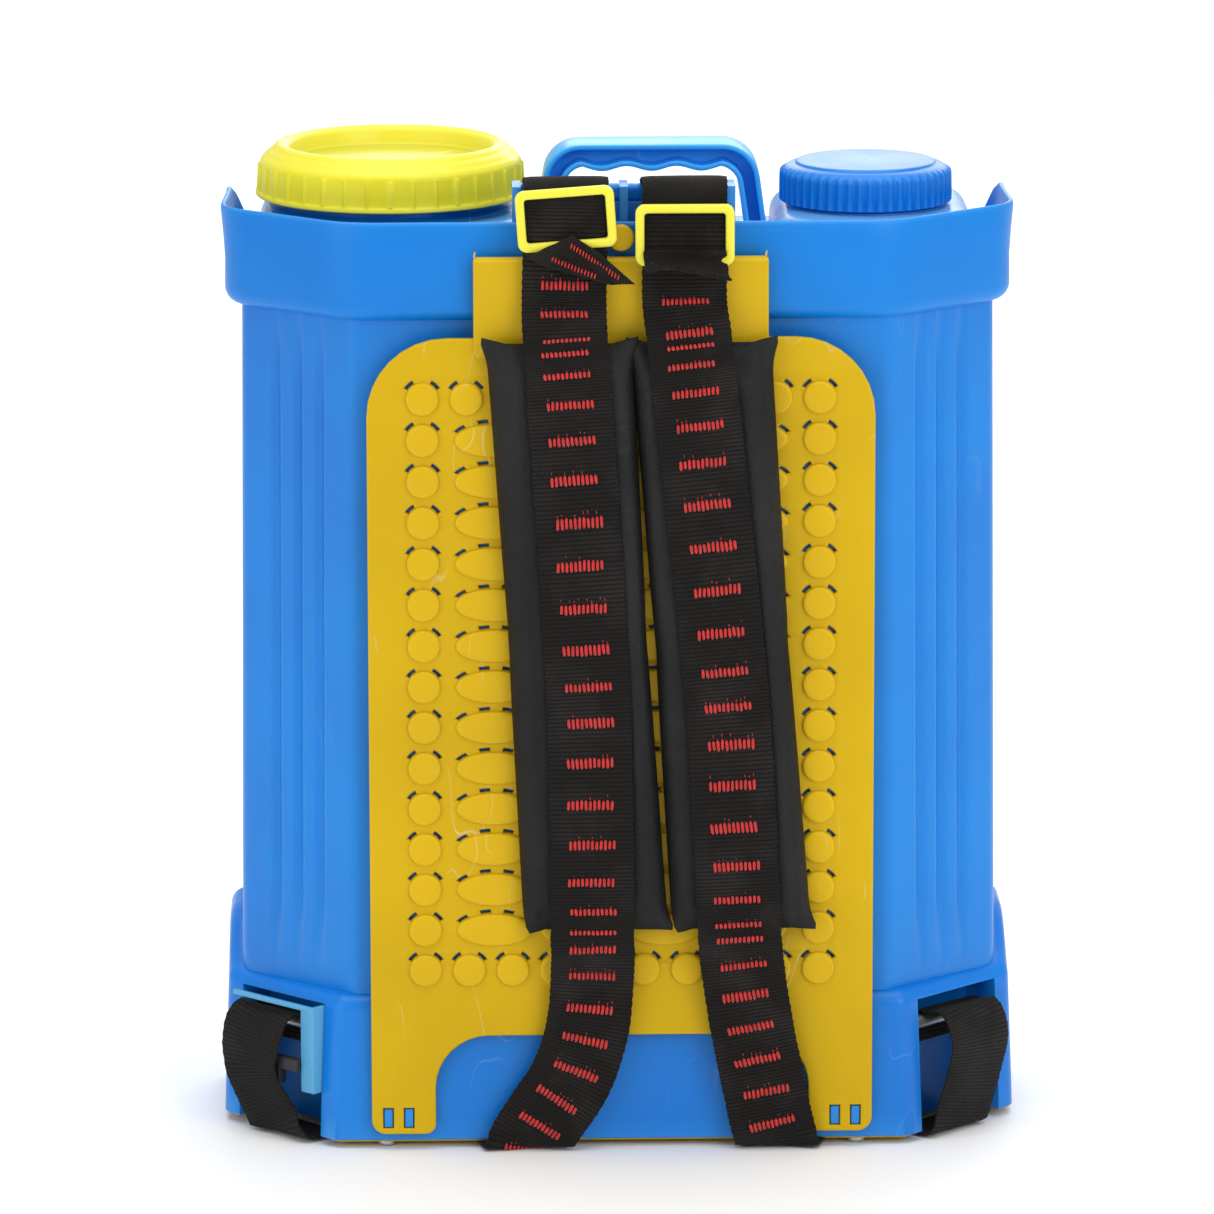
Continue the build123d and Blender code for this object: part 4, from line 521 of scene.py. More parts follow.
class Form:
    """Vertices and faces in millimetres that become one Blender object."""

    def __init__(self) -> None:
        """Starts empty."""
        self.points: list[Vector] = []
        self.faces: list[tuple[int, ...]] = []
        self.paint: list[int] = []
        self.cloth: list[tuple[float, float, float]] = []

    def loft(self, rings: Sequence[Sequence[Sequence[float]]], closed: bool = True, caps: bool = True,
             loop: bool = False, paint: int = 0) -> "Form":
        """Skins rings of equal length.

        Args:
            rings: the rings, each a list of points.
            closed: join each ring's last point to its first.
            caps: fill the first and last ring.
            loop: join the last ring to the first.
            paint: material number of the new faces.

        Returns:
            The form itself.
        """
        base = len(self.points)
        size = len(rings[0])
        for ring in rings:
            self.points += [Vector(p) for p in ring]
        around = size if closed else size - 1
        total = len(rings)
        for r in range(total if loop else total - 1):
            low = base + r * size
            high = base + (r + 1) % total * size
            for i in range(around):
                j = (i + 1) % size
                self.faces.append((low + i, low + j, high + j, high + i))
        if caps and not loop:
            self.faces.append(tuple(range(base + size - 1, base - 1, -1)))
            self.faces.append(tuple(base + (total - 1) * size + i for i in range(size)))
        self.paint += [paint] * (len(self.faces) - len(self.paint))
        return self

    def turn(self, x: float, y: float, profile: Sequence[tuple[float, float]], count: int = 96,
             relief: Optional[Callable[[float, float, float], float]] = None, paint: int = 0,
             stretch: float = 1.0, upright: bool = True, ring: bool = False) -> "Form":
        """A turned shape from a profile of (radius, height).

        Args:
            x: centre.
            y: centre, or the height where the axis runs towards the wearer.
            profile: radii and heights from one end to the other.
            count: points round.
            relief: extra radius from (angle, radius, height).
            paint: material number.
            stretch: width across over height across.
            upright: axis along Z, else towards -Y.
            ring: join the profile's ends, for a shape with a hole.

        Returns:
            The form itself.
        """
        rings = []
        for radius, height in profile:
            row = []
            for i in range(count):
                angle = math.tau * i / count
                size = radius + (relief(angle, radius, height) if relief else 0.0)
                across = size * stretch * math.cos(angle)
                other = size * math.sin(angle)
                row.append((x + across, y + other, height) if upright else (x + across, height, y + other))
            rings.append(row)
        return self.loft(rings, loop=ring, paint=paint)

    def slab(self, low: Sequence[float], high: Sequence[float], paint: int = 0) -> "Form":
        """A box between two corners."""
        rings = [[(low[0], low[1], z), (high[0], low[1], z), (high[0], high[1], z), (low[0], high[1], z)]
                 for z in (low[2], high[2])]
        return self.loft(rings, paint=paint)

    def thread(self, path: Sequence[Vector], radius: float, sides: int = 5, paint: int = 0) -> "Form":
        """A round thread along a path."""
        rings = []
        side = Vector((0.0, 0.0, 1.0))
        for i, point in enumerate(path):
            ahead = (path[min(i + 1, len(path) - 1)] - path[max(i - 1, 0)]).normalized()
            side = (side - ahead * side.dot(ahead)).normalized() if side.cross(ahead).length > 0.05 \
                else ahead.orthogonal().normalized()
            third = ahead.cross(side)
            size = radius * (0.6 if i in (0, len(path) - 1) else 1.0)
            rings.append([point + side * size * math.cos(math.tau * k / sides)
                          + third * size * math.sin(math.tau * k / sides) for k in range(sides)])
        return self.loft(rings, paint=paint)

    def build(self, name: str, *finishes: Finish, sharp: float = 35.0, tidy: bool = True) -> bpy.types.Object:
        """Makes the object in metres, smooth but for edges sharper than an angle.

        Args:
            name: the piece's name.
            finishes: its materials, by number.
            sharp: degrees above which an edge stays crisp.
            tidy: merge doubles and make the normals agree.

        Returns:
            The new object.
        """
        mesh = bpy.data.meshes.new(name)
        mesh.from_pydata([p * MM for p in self.points], [], self.faces)
        for finish in finishes:
            mesh.materials.append(PAINT[finish])
        mesh.polygons.foreach_set("material_index", self.paint)
        if self.cloth:
            run = mesh.attributes.new("cloth", "FLOAT_VECTOR", "POINT")
            run.data.foreach_set("vector", [v for row in self.cloth for v in row])
        made = bpy.data.objects.new(name, mesh)
        bpy.context.scene.collection.objects.link(made)
        if finishes:
            finishes[0].slot
        soften(made, sharp, tidy)
        return made


def soften(made: bpy.types.Object, sharp: float = 35.0, tidy: bool = True) -> None:
    """Smooth shading with crisp edges above an angle, after merging doubles."""
    work = bmesh.new()
    work.from_mesh(made.data)
    if tidy:
        bmesh.ops.remove_doubles(work, verts=work.verts, dist=2e-6)
        bmesh.ops.recalc_face_normals(work, faces=work.faces)
    limit = math.radians(sharp)
    for edge in work.edges:
        edge.smooth = len(edge.link_faces) == 2 and edge.calc_face_angle(0.0) < limit
    for face in work.faces:
        face.smooth = True
    work.to_mesh(made.data)
    work.free()


def modify(made: bpy.types.Object, kind: str, **settings: object) -> None:
    """Adds a modifier and applies it to the mesh."""
    added = made.modifiers.new(kind.lower(), kind)
    for key, value in settings.items():
        setattr(added, key, value)
    graph = bpy.context.evaluated_depsgraph_get()
    mesh = bpy.data.meshes.new_from_object(made.evaluated_get(graph), preserve_all_data_layers=True, depsgraph=graph)
    made.modifiers.clear()
    made.data = mesh


def carve(made: bpy.types.Object, others: Sequence[bpy.types.Object], operation: str) -> None:
    """Joins other solids to an object or cuts them from it, and removes them."""
    for other in others:
        modify(made, "BOOLEAN", object=other, operation=operation, solver="EXACT")
        bpy.data.objects.remove(other)


def bevelled(made: bpy.types.Object, width: float, angle: float = 35.0, segments: int = 2) -> bpy.types.Object:
    """Rounds an object's sharp edges, width in millimetres."""
    modify(made, "BEVEL", width=width * MM, segments=segments, limit_method="ANGLE",
           angle_limit=math.radians(angle), harden_normals=False, use_clamp_overlap=True)
    soften(made, 40.0)
    return made


def copied(node: str, name: str, finish: Finish, width: float, segments: int = 2) -> bpy.types.Object:
    """A bevelled copy of a rigid CAD node, which it stands for."""
    source = bpy.data.objects[node]
    made = bpy.data.objects.new(name, source.data.copy())
    bpy.context.scene.collection.objects.link(made)
    made.data.materials.clear()
    made.data.materials.append(PAINT[finish])
    for kept in list(made.data.attributes):
        if kept.name.startswith("custom_normal"):
            made.data.attributes.remove(kept)
    work = bmesh.new()
    work.from_mesh(made.data)
    bmesh.ops.remove_doubles(work, verts=work.verts, dist=5e-6)
    bmesh.ops.dissolve_limit(work, angle_limit=math.radians(0.6), verts=work.verts, edges=work.edges)
    work.to_mesh(made.data)
    work.free()
    bevelled(made, width, segments=segments)
    finish.slot
    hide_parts(node)
    return made


def settle(made: bpy.types.Object, body: str, *nodes: str) -> bpy.types.Object:
    """Puts a piece on its body, standing for CAD nodes, and reports it."""
    if nodes:
        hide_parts(*nodes)
    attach(made, body)
    LOG.info("%s rides on %s with %d faces", made.name, body, len(made.data.polygons))
    return made


# ---------------------------------------------------------------- tank
@dataclass
class TankShell:
    """The blow-moulded tank: fluted corners, rounded shoulder, raised ends, necks and splash collar."""

    half_width: float = 183.8
    half_depth: float = 88.0
    cut: tuple[float, float] = (54.0, 48.0)
    floor_z: float = 70.0
    draft: float = 3.0
    shoulder: float = 9.0
    corner_radius: float = 10.0
    flute_pitch: float = 14.0
    flute_width: float = 8.0
    flute_depth: float = 2.3
    flute_steps: int = 48
    turret_top: float = 447.0
    lid_place: tuple[float, float] = (-109.0, 7.0)
    cap_place: tuple[float, float] = (121.0, 5.0)

    def flute(self, share: float, length: float) -> float:
        """How deep a corner is at a share of its length."""
        along = (share - 0.5) * length
        depth = 0.0
        for i in (-1, 0, 1):
            near = abs(along - i * self.flute_pitch) / (self.flute_width / 2)
            if near < 1:
                depth = self.flute_depth * (0.5 + 0.5 * math.cos(math.pi * near)) ** 0.8
        return depth

    def ring(self, z: float, inset: float, fade: float) -> list[tuple[float, float, float]]:
        """The tank's outline at a height.

        Args:
            z: height.
            inset: how far inside the widest outline.
            fade: 0 for plain corners, 1 for full flutes.

        Returns:
            Points anticlockwise, the same number at every height.
        """
        w, d = self.half_width - inset, self.half_depth - inset
        cx, cy = (c - inset * 0.4 for c in self.cut)
        corners = []
        for sx, sy in ((1, -1), (1, 1), (-1, 1), (-1, -1)):
            pair = [(sx * (w - cx), sy * d), (sx * w, sy * (d - cy))]
            corners += pair if sx * sy < 0 else pair[::-1]
        radius = max(1.0, self.corner_radius - inset * 0.3)
        outline = rounded([(x, y, radius) for x, y in corners])
        ring = []
        for i, (x, y) in enumerate(outline):
            ring.append((x, y + MID_Y, z))
            if i % 14 != 6:
                continue
            ax, ay = x, y
            bx, by = outline[i + 1]
            length = math.hypot(bx - ax, by - ay)
            nx, ny = -(by - ay) / length, (bx - ax) / length
            for k in range(1, self.flute_steps):
                share = k / self.flute_steps
                deep = self.flute(share, length) * fade
                ring.append((lerp(ax, bx, share) + nx * deep, lerp(ay, by, share) + ny * deep + MID_Y, z))
        return ring

    def body(self) -> bpy.types.Object:
        """The main body, closed."""
        rings = [self.ring(self.floor_z, 6, 0), self.ring(self.floor_z + 2, 2, 0), self.ring(self.floor_z + 6, 0, 0)]
        low, high = self.floor_z + 18, DECK_Z - 22
        for k in range(13):
            share = k / 12
            z = lerp(low, high, share)
            fade = smooth(min(z - low, high - z) / 12 + 0.0)
            rings.append(self.ring(z, self.draft * share, fade))
        for k in range(7):
            turn = math.pi / 2 * k / 6
            rings.append(self.ring(DECK_Z - self.shoulder * (1 - math.sin(turn)),
                                   self.draft + self.shoulder * (1 - math.cos(turn)), 0))
        return Form().loft(rings).build("tank_body", Finish.TANK, Finish.TOP_HIGHLIGHT, sharp=50)

    def turret(self, name: str, x: tuple[float, float], radius: float = 30.0, edge: float = 11.0) -> bpy.types.Object:
        """One raised end of the tank top."""
        rings = []
        for inset, z in [(0.0, DECK_Z - 8)] + [
                (edge * (1 - math.cos(a)), self.turret_top - edge * (1 - math.sin(a)))
                for a in (math.pi / 2 * k / 6 for k in range(7))]:
            outline = rounded([(x[0] + inset, -62 + inset, radius - inset), (x[1] - inset, -62 + inset, radius - inset),
                               (x[1] - inset, 72 - inset, radius - inset), (x[0] + inset, 72 - inset, radius - inset)],
                              10)
            rings.append([(px, py + MID_Y, z) for px, py in outline])
        return Form().loft(rings).build(name, Finish.TOP_HIGHLIGHT, sharp=50)

    def neck(self, name: str, place: tuple[float, float], radius: float, bore: float, top: float) -> bpy.types.Object:
        """A screw neck with a moulded thread, a bead at its foot and an open bore."""
        foot = self.turret_top
        outside = [(radius - 2.6, foot - 5), (radius - 2.6, foot - 0.5), (radius + 3, foot - 0.5),
                   (radius + 2.8, foot + 0.6), (radius + 0.6, foot + 1.8), (radius, foot + 3)]
        outside += [(radius, top - 7), (radius + 1.1, top - 6), (radius + 1.1, top - 4.6), (radius, top - 3.6),
                    (radius, top - 0.8), (radius - 0.8, top), (bore + 0.8, top), (bore, top - 0.8), (bore, foot - 5)]
        return Form().turn(*place, outside, 120, ring=True).build(name, Finish.BLUE)

    def collar(self) -> bpy.types.Object:
        """Splash wall round the front half, with a rolled foot, a thin rim and turned-in rear ends."""
        plan = [(-174.0, 20.0, 0.10), (-180.0, 19.0, 0.50), (-184.0, 16.0, 0.90), (-186.4, 10.0, 1.06),
                (-186.6, 2.0, 1.03)]
        side, end, front, turn, flat = 190.5, 185.5, -93.0, -43.0, 131.0
        for (x0, y0), (x1, y1), (x2, y2) in (((-end, 0), (-side, turn), (-flat, front)),
                                            ((-side, turn), (-flat, front), (flat, front)),
                                            ((-flat, front), (flat, front), (side, turn)),
                                            ((flat, front), (side, turn), (end, 0))):
            here, before, after = Vector((x1, y1)), Vector((x0, y0)), Vector((x2, y2))
            reach = 15.0
            start = here + (before - here).normalized() * reach
            finish = here + (after - here).normalized() * reach
            for k in range(7):
                t = k / 6
                p = start * (1 - t) ** 2 + here * 2 * t * (1 - t) + finish * t * t
                plan.append((p.x, p.y, 1.0))
        plan += [(186.6, 2.0, 1.03), (186.4, 10.0, 1.06), (184.0, 16.0, 0.90), (180.0, 19.0, 0.50),
                 (174.0, 20.0, 0.10)]
        roll = [(-8 + 8.0 * math.cos(a), 413.8 + 8.0 * math.sin(a)) for a in
                (math.radians(-90 + 15 * k) for k in range(7))]
        wall = [(-0.2, 428), (-0.6, 440), (-0.9, 453.4), (-1.4, 455.2), (-2.4, 456.0), (-3.4, 455.6), (-3.9, 454.2),
                (-4.0, 440), (-4.6, 432), (-7.0, 428.6), (-13.0, 427.0), (-14.0, 418.0), (-12.0, 407.0)]
        section = roll + wall
        rings = []
        for i, (x, y, tall) in enumerate(plan):
            a, b = plan[max(i - 1, 0)], plan[min(i + 1, len(plan) - 1)]
            along = Vector((b[0] - a[0], b[1] - a[1])).normalized()
            out = Vector((along.y, -along.x))
            top = lerp(429.0, 453.6, tall)
            flare = 3.6 * smooth((y + 60) / 40)
            ring = []
            for o, z in section:
                lift = z if z <= 429 else lerp(429.0, top, (z - 429.0) / 27.0)
                o += flare * max(0.0, (z - 429.0) / 27.0)
                ring.append((x + out.x * o, y + out.y * o + MID_Y, lift))
            rings.append(ring)
        return Form().loft(rings).build("splash_collar", Finish.COLLAR, sharp=60)

    def shell(self) -> bpy.types.Object:
        """The tank's body, raised ends and front panel in one, with a hole under each neck."""
        tank = self.body()
        panel = bevelled(Form().slab((-108, MID_Y - 94.7, 84), (108, MID_Y - 76, 388)).build("panel", Finish.TANK), 3.0)
        parts = [panel, self.turret("left_turret", (-173.0, -43.0)), self.turret("right_turret", (76.0, 173.0))]
        for number, other in enumerate(parts):
            other.data.materials.clear()
            for finish in (Finish.TANK, Finish.TOP_HIGHLIGHT):
                other.data.materials.append(PAINT[finish])
            other.data.polygons.foreach_set("material_index", [min(number, 1)] * len(other.data.polygons))
        carve(tank, parts, "UNION")
        wells = [Form().turn(*self.lid_place, [(53.6, 395), (53.6, 490)]).build("well", Finish.TANK),
                 Form().turn(*self.cap_place, [(33.6, 405), (33.6, 490)]).build("well", Finish.TANK)]
        carve(tank, wells, "DIFFERENCE")
        # painted highlight: faces above the deck take the paler top-highlight blue
        for face in tank.data.polygons:
            face.material_index = 1 if face.center.z > (DECK_Z + 0.3) * MM else 0
        soften(tank, 38.0)
        return tank

    def assemble(self) -> None:
        """The tank, its collar and its necks."""
        tank = self.shell()
        tank.name = "tank_shell"
        settle(tank, "frame", "tank")
        settle(self.collar(), "frame")
        settle(self.neck("filler_neck_ring", self.lid_place, 56.0, 51.0, 462.0), "frame", "filler_neck")
        settle(self.neck("small_neck_ring", self.cap_place, 36.0, 31.0, 462.5), "frame", "small_neck")


# ---------------------------------------------------------------- caps
@dataclass
class FillerLid:
    """Wide screw lid: clear ribbed skirt with a flared lip, stepped shoulder, ring and sunk disc."""

    place: tuple[float, float] = (-109.0, 7.0)
    ribs: int = 36
    bottom: float = 453.0
    skirt_top: float = 468.6

    def relief(self, angle: float, radius: float, height: float) -> float:
        """Ribs on the skirt, every third one wider."""
        if radius < 62.0 or not self.bottom + 2.6 < height < self.skirt_top:
            return 0.0
        turn = angle / math.tau * self.ribs
        near = abs(turn - round(turn)) * math.tau * 64 / self.ribs
        half = 1.0 if round(turn) % 3 == 0 else 0.6
        return 1.0 * (1 - smooth((near - half * 0.6) / (half * 0.8)))

    def assemble(self) -> bpy.types.Object:
        """The lid as one piece on its own body."""
        skirt = [(60.6, 460), (60.6, self.bottom + 0.6), (61.2, self.bottom), (65.0, self.bottom),
                 (65.5, self.bottom + 0.5), (65.4, self.bottom + 1.8), (64.7, self.bottom + 2.4),
                 (64.1, self.bottom + 2.8), (63.9, self.bottom + 3.4), (63.7, 460), (63.3, self.skirt_top - 0.8),
                 (63.2, self.skirt_top), (62.9, 469.6)]
        crown = [(62.9, 469.6), (62.2, 471.0), (61.0, 472.2), (60.2, 472.6), (59.6, 473.4), (57.6, 475.2),
                 (56.9, 475.4), (56.4, 476.0), (55.4, 477.2), (54.0, 477.9), (52.4, 477.9), (51.9, 477.4),
                 (51.2, 477.3), (50.0, 476.8), (48.9, 475.4), (48.2, 471.0), (47.5, 469.2), (46.2, 468.6),
                 (42.0, 468.5), (0.6, 468.5)]
        inside = [(0.6, 466.2), (59.0, 466.2), (60.6, 464.0), (60.6, 460)]
        form = Form().turn(*self.place, skirt + crown[1:] + inside, 432, self.relief, ring=True)
        # painted shade: skirt faces take the darker copy of the lid plastic (index 1)
        for i, face in enumerate(form.faces):
            heights = [form.points[k].z for k in face]
            form.paint[i] = 1 if max(heights) < crown[0][1] + 0.1 and min(heights) < self.skirt_top - 2.7 or (
                max(heights) < crown[0][1] + 0.1 and (form.points[face[0]].xy - Vector(self.place)).length > 62) else 0
            if max(heights) < 470 and min(heights) > 468 and (
                    form.points[face[0]].xy - Vector(self.place)).length < 47.6:
                form.paint[i] = 2
        lid = form.build("filler_lid_cap", Finish.LID, Finish.SHADED_SKIRT, Finish.DISC, sharp=45)
        return settle(lid, "lid", "filler_lid")


@dataclass
class SmallCap:
    """Second screw cap: fine ribs, wide sloped edge, low disc on top."""

    place: tuple[float, float] = (121.0, 5.0)
    ribs: int = 52

    def relief(self, angle: float, radius: float, height: float) -> float:
        """Fine ribs that fade under the sloped edge."""
        if radius < 39.5 or height > 464.0 or height < 448.7:
            return 0.0
        wave = 0.5 + 0.5 * math.cos(angle * self.ribs)
        return 1.1 * wave ** 1.5

    def assemble(self) -> bpy.types.Object:
        """The cap as one piece on its own body."""
        profile = [(38.4, 460), (38.4, 449.0), (38.9, 448.5), (40.2, 448.5), (40.8, 449.2), (40.8, 455),
                   (40.7, 461.5), (40.6, 462.6), (40.2, 463.9), (39.2, 465.0), (37.6, 466.0), (35.6, 466.5),
                   (34.6, 466.7), (34.0, 466.9), (33.6, 467.6), (32.9, 468.0), (31.0, 468.1), (20.0, 468.2),
                   (0.5, 468.2), (0.5, 464.6), (36.5, 464.6), (38.4, 463.0), (38.4, 460)]
        form = Form().turn(*self.place, profile[:-1], 416, self.relief, ring=True)
        return settle(form.build("small_cap_shell", Finish.BLUE, sharp=45), "cap", "small_cap")


# ---------------------------------------------------------------- handle and anchor
@dataclass
class CarryHandle:
    """Fixed arch of I-section with a wavy grip and screwed feet."""

    x: float = 17.0
    top: float = 478.0
    top_half: float = 50.0
    foot_half: float = 57.0
    radius: float = 18.0
    band: float = 10.5
    depth: float = 28.0
    flange: float = 2.6
    web: float = 4.0
    wave: float = 1.2
    pitch: float = 24.0

    def outline(self, inset: float) -> Plan:
        """The arch's line at an inset, left foot to right foot."""
        top, head, foot = self.top - inset, self.top_half - inset * 0.9, self.foot_half - inset
        corners = rounded([(-foot, DECK_Z, 0), (-head, top, self.radius - inset * 0.75),
                           (head, top, self.radius - inset * 0.75), (foot, DECK_Z, 0)], 10)
        line: Plan = []
        for (x0, z0), (x1, z1) in zip(corners, corners[1:]):
            steps = 40 if abs(z1 - z0) < 0.01 else (10 if abs(z1 - z0) > 20 else 1)
            line += [(lerp(x0, x1, k / steps), lerp(z0, z1, k / steps)) for k in range(steps)]
        return line + [corners[-1]]

    def assemble(self) -> bpy.types.Object:
        """The handle in one piece."""
        outer, inner = self.outline(0), self.outline(self.band)
        half, web, lip = self.depth / 2, self.web / 2, self.flange
        rings = []
        for (ox, oz), (ix, iz) in zip(outer, inner):
            swell = 0.0
            if abs(iz - (self.top - self.band)) < 0.01 and abs(ix) < self.pitch * 1.6:
                swell = self.wave * (0.5 + 0.5 * math.cos(math.tau * ix / self.pitch)) * 2
                swell *= smooth((self.pitch * 1.6 - abs(ix)) / 6)
            o, i = Vector((ox, oz)), Vector((ix, iz - swell))
            into = (i - o).normalized()
            near, far = o + into * lip, i - into * lip
            section = [(o, -half), (o, half), (near, half), (near, web), (far, web), (far, half), (i, half),
                       (i, -half), (far, -half), (far, -web), (near, -web), (near, -half)]
            rings.append([(self.x + p.x, MID_Y + y, p.y) for p, y in section])
        form = Form().loft(rings)
        handle = bevelled(form.build("arch", Finish.GRIP), 0.9, 40, 3)
        feet = []
        for sx in (-1, 1):
            x = self.x + sx * (self.foot_half - 9)
            foot = rounded([(x - 9, -24, 4), (x + 9, -24, 4), (x + 9, 24, 4), (x - 9, 24, 4)])
            block = Form().loft([[(px, py + MID_Y, z) for px, py in foot] for z in (DECK_Z, DECK_Z + 4)])
            feet.append(bevelled(block.build("foot", Finish.GRIP), 0.8))
        for foot in feet:
            foot.parent = handle
            Finish.BLUE.slot
        feet[0].name, feet[1].name, handle.name = "handle_left_foot", "handle_right_foot", "handle_arch"
        return settle(handle, "frame", "carry_handle")


# ---------------------------------------------------------------- back plate
@dataclass
class BackPlate:
    """Moulded plate with rounded edges, vent slots, domed buttons, a raised tab and two legs."""

    half_width: float = 121.0
    top: float = 399.0
    bottom: float = 8.0
    thick: float = 4.0
    edge: float = 1.1
    button: float = 7.9
    oval: float = 18.3
    rows: int = 15
    columns: int = 10
    row_pitch: float = 20.0
    column_pitch: float = 21.0
    oval_pitch: float = 40.7
    top_row: float = 370.0

    def places(self) -> list[tuple[float, float, float]]:
        """Buttons as (x, z, half width)."""
        found = []
        for row in range(self.rows):
            z = self.top_row - row * self.row_pitch
            ends = row in (0, self.rows - 1)
            for i in range(self.columns):
                if ends or i in (0, self.columns - 1):
                    found.append(((i - (self.columns - 1) / 2) * self.column_pitch, z, self.button))
            if not ends:
                found += [((i - 1.5) * self.oval_pitch, z, self.oval) for i in range(4)]
        return found

    def slots(self) -> list[Plan]:
        """Outlines of the vent slots round the buttons and of the hook slots."""
        found: list[Plan] = []
        for x, z, wide in self.places():
            spans = ((32, 62), (118, 148)) if wide == self.button else ((20, 42), (62, 77), (96, 111), (133, 155))
            for low, high in spans:
                inner, outer = [], []
                for k in range(6):
                    angle = math.radians(lerp(low, high, k / 5))
                    inner.append((x + (wide + 0.3) * math.cos(angle), z + (self.button + 0.3) * math.sin(angle)))
                    outer.append((x + (wide + 2.0) * math.cos(angle), z + (self.button + 2.0) * math.sin(angle)))
                found.append(inner + outer[::-1])
        for x in (-113, -103, 103, 113):
            found.append([(x - 2.5, 11), (x + 2.5, 11), (x + 2.5, 21), (x - 2.5, 21)])
        return found

    def outline(self) -> Plan:
        """The plate's edge, with the arch between its legs."""
        w, arch = self.half_width, 90.0
        return rounded([(-w, self.bottom, 7), (-arch, self.bottom, 5), (-arch, 57, 26), (arch, 57, 26),
                        (arch, self.bottom, 5), (w, self.bottom, 7), (w, self.top, 38), (-w, self.top, 38)], 8)

    def sheet(self, name: str, outlines: Sequence[Plan], rear: float, front: float, edge: float,
              finish: Finish) -> bpy.types.Object:
        """A flat moulding with rounded edges between two distances from the wearer."""
        curve = bpy.data.curves.new(name, "CURVE")
        curve.dimensions = "2D"
        curve.fill_mode = "BOTH"
        curve.extrude = ((rear - front) / 2 - edge) * MM
        curve.bevel_depth = edge * MM
        curve.bevel_resolution = 2
        curve.offset = -edge * MM
        for outline in outlines:
            spline = curve.splines.new("POLY")
            spline.points.add(len(outline) - 1)
            for point, (x, z) in zip(spline.points, outline):
                point.co = (x * MM, z * MM, 0.0, 1.0)
            spline.use_cyclic_u = True
        drawn = bpy.data.objects.new(name + "_outline", curve)
        bpy.context.scene.collection.objects.link(drawn)
        graph = bpy.context.evaluated_depsgraph_get()
        mesh = bpy.data.meshes.new_from_object(drawn.evaluated_get(graph))
        bpy.data.objects.remove(drawn)
        for vertex in mesh.vertices:
            x, z, depth = vertex.co
            vertex.co = (x, (rear + front) / 2 * MM - depth, z)
        mesh.materials.clear()
        mesh.materials.append(PAINT[finish])
        made = bpy.data.objects.new(name, mesh)
        bpy.context.scene.collection.objects.link(made)
        finish.slot
        soften(made, 50.0)
        return made

    def dome(self, form: Form, x: float, z: float, wide: float, tall: float, front: float, high: float) -> None:
        """One raised button with a soft edge."""
        stretch = wide / tall
        profile = [(tall, front + 0.6), (tall, front - 0.2), (tall - 0.15, front - high * 0.62),
                   (tall - 0.5, front - high * 0.84), (tall - 1.1, front - high * 0.95),
                   (tall - 2.2, front - high), (tall * 0.3, front - high - 0.1)]
        form.turn(x, z, profile, 40 if stretch < 1.5 else 64, stretch=stretch, upright=False)

    def assemble(self) -> None:
        """Plate, tab, buttons and stud."""
        rear = PLATE_FRONT_Y + self.thick
        plate = self.sheet("vented_plate", [self.outline()] + self.slots(), rear, PLATE_FRONT_Y, self.edge, Finish.PLATE)
        settle(plate, "frame", "back_plate")
        tab_edge = rounded([(-70, 389, 5), (70, 389, 5), (70, 438, 2), (-70, 438, 2)], 5)
        tab = self.sheet("raised_tab", [tab_edge], PLATE_FRONT_Y + 3.0, PLATE_FRONT_Y - 1.6, 0.9, Finish.PLATE)
        settle(tab, "frame")
        form = Form()
        for x, z, wide in self.places():
            self.dome(form, x, z, wide, self.button, PLATE_FRONT_Y, 2.0)
        settle(form.build("plate_buttons", Finish.BUTTON, sharp=60, tidy=False), "frame")
        ear = Form()
        self.dome(ear, 0, 447.0, 6.3, 6.3, PLATE_FRONT_Y + 2, 3.4)
        ear.turn(0, 447.0, [(3, PLATE_FRONT_Y + 10), (3, PLATE_FRONT_Y + 1)], 24, upright=False)
        settle(ear.build("plate_stud_head", Finish.PLATE, sharp=60), "frame", "plate_stud")
        flash = Form()
        for x in (-69.3, 68.8):
            flash.thread([Vector((x, PLATE_FRONT_Y, 437)), Vector((x - 0.2, PLATE_FRONT_Y - 0.4, 439)),
                          Vector((x + 0.3, PLATE_FRONT_Y - 0.6, 440.8))], 0.5, 5)
        settle(flash.build("tab_flash", Finish.PLATE), "frame")


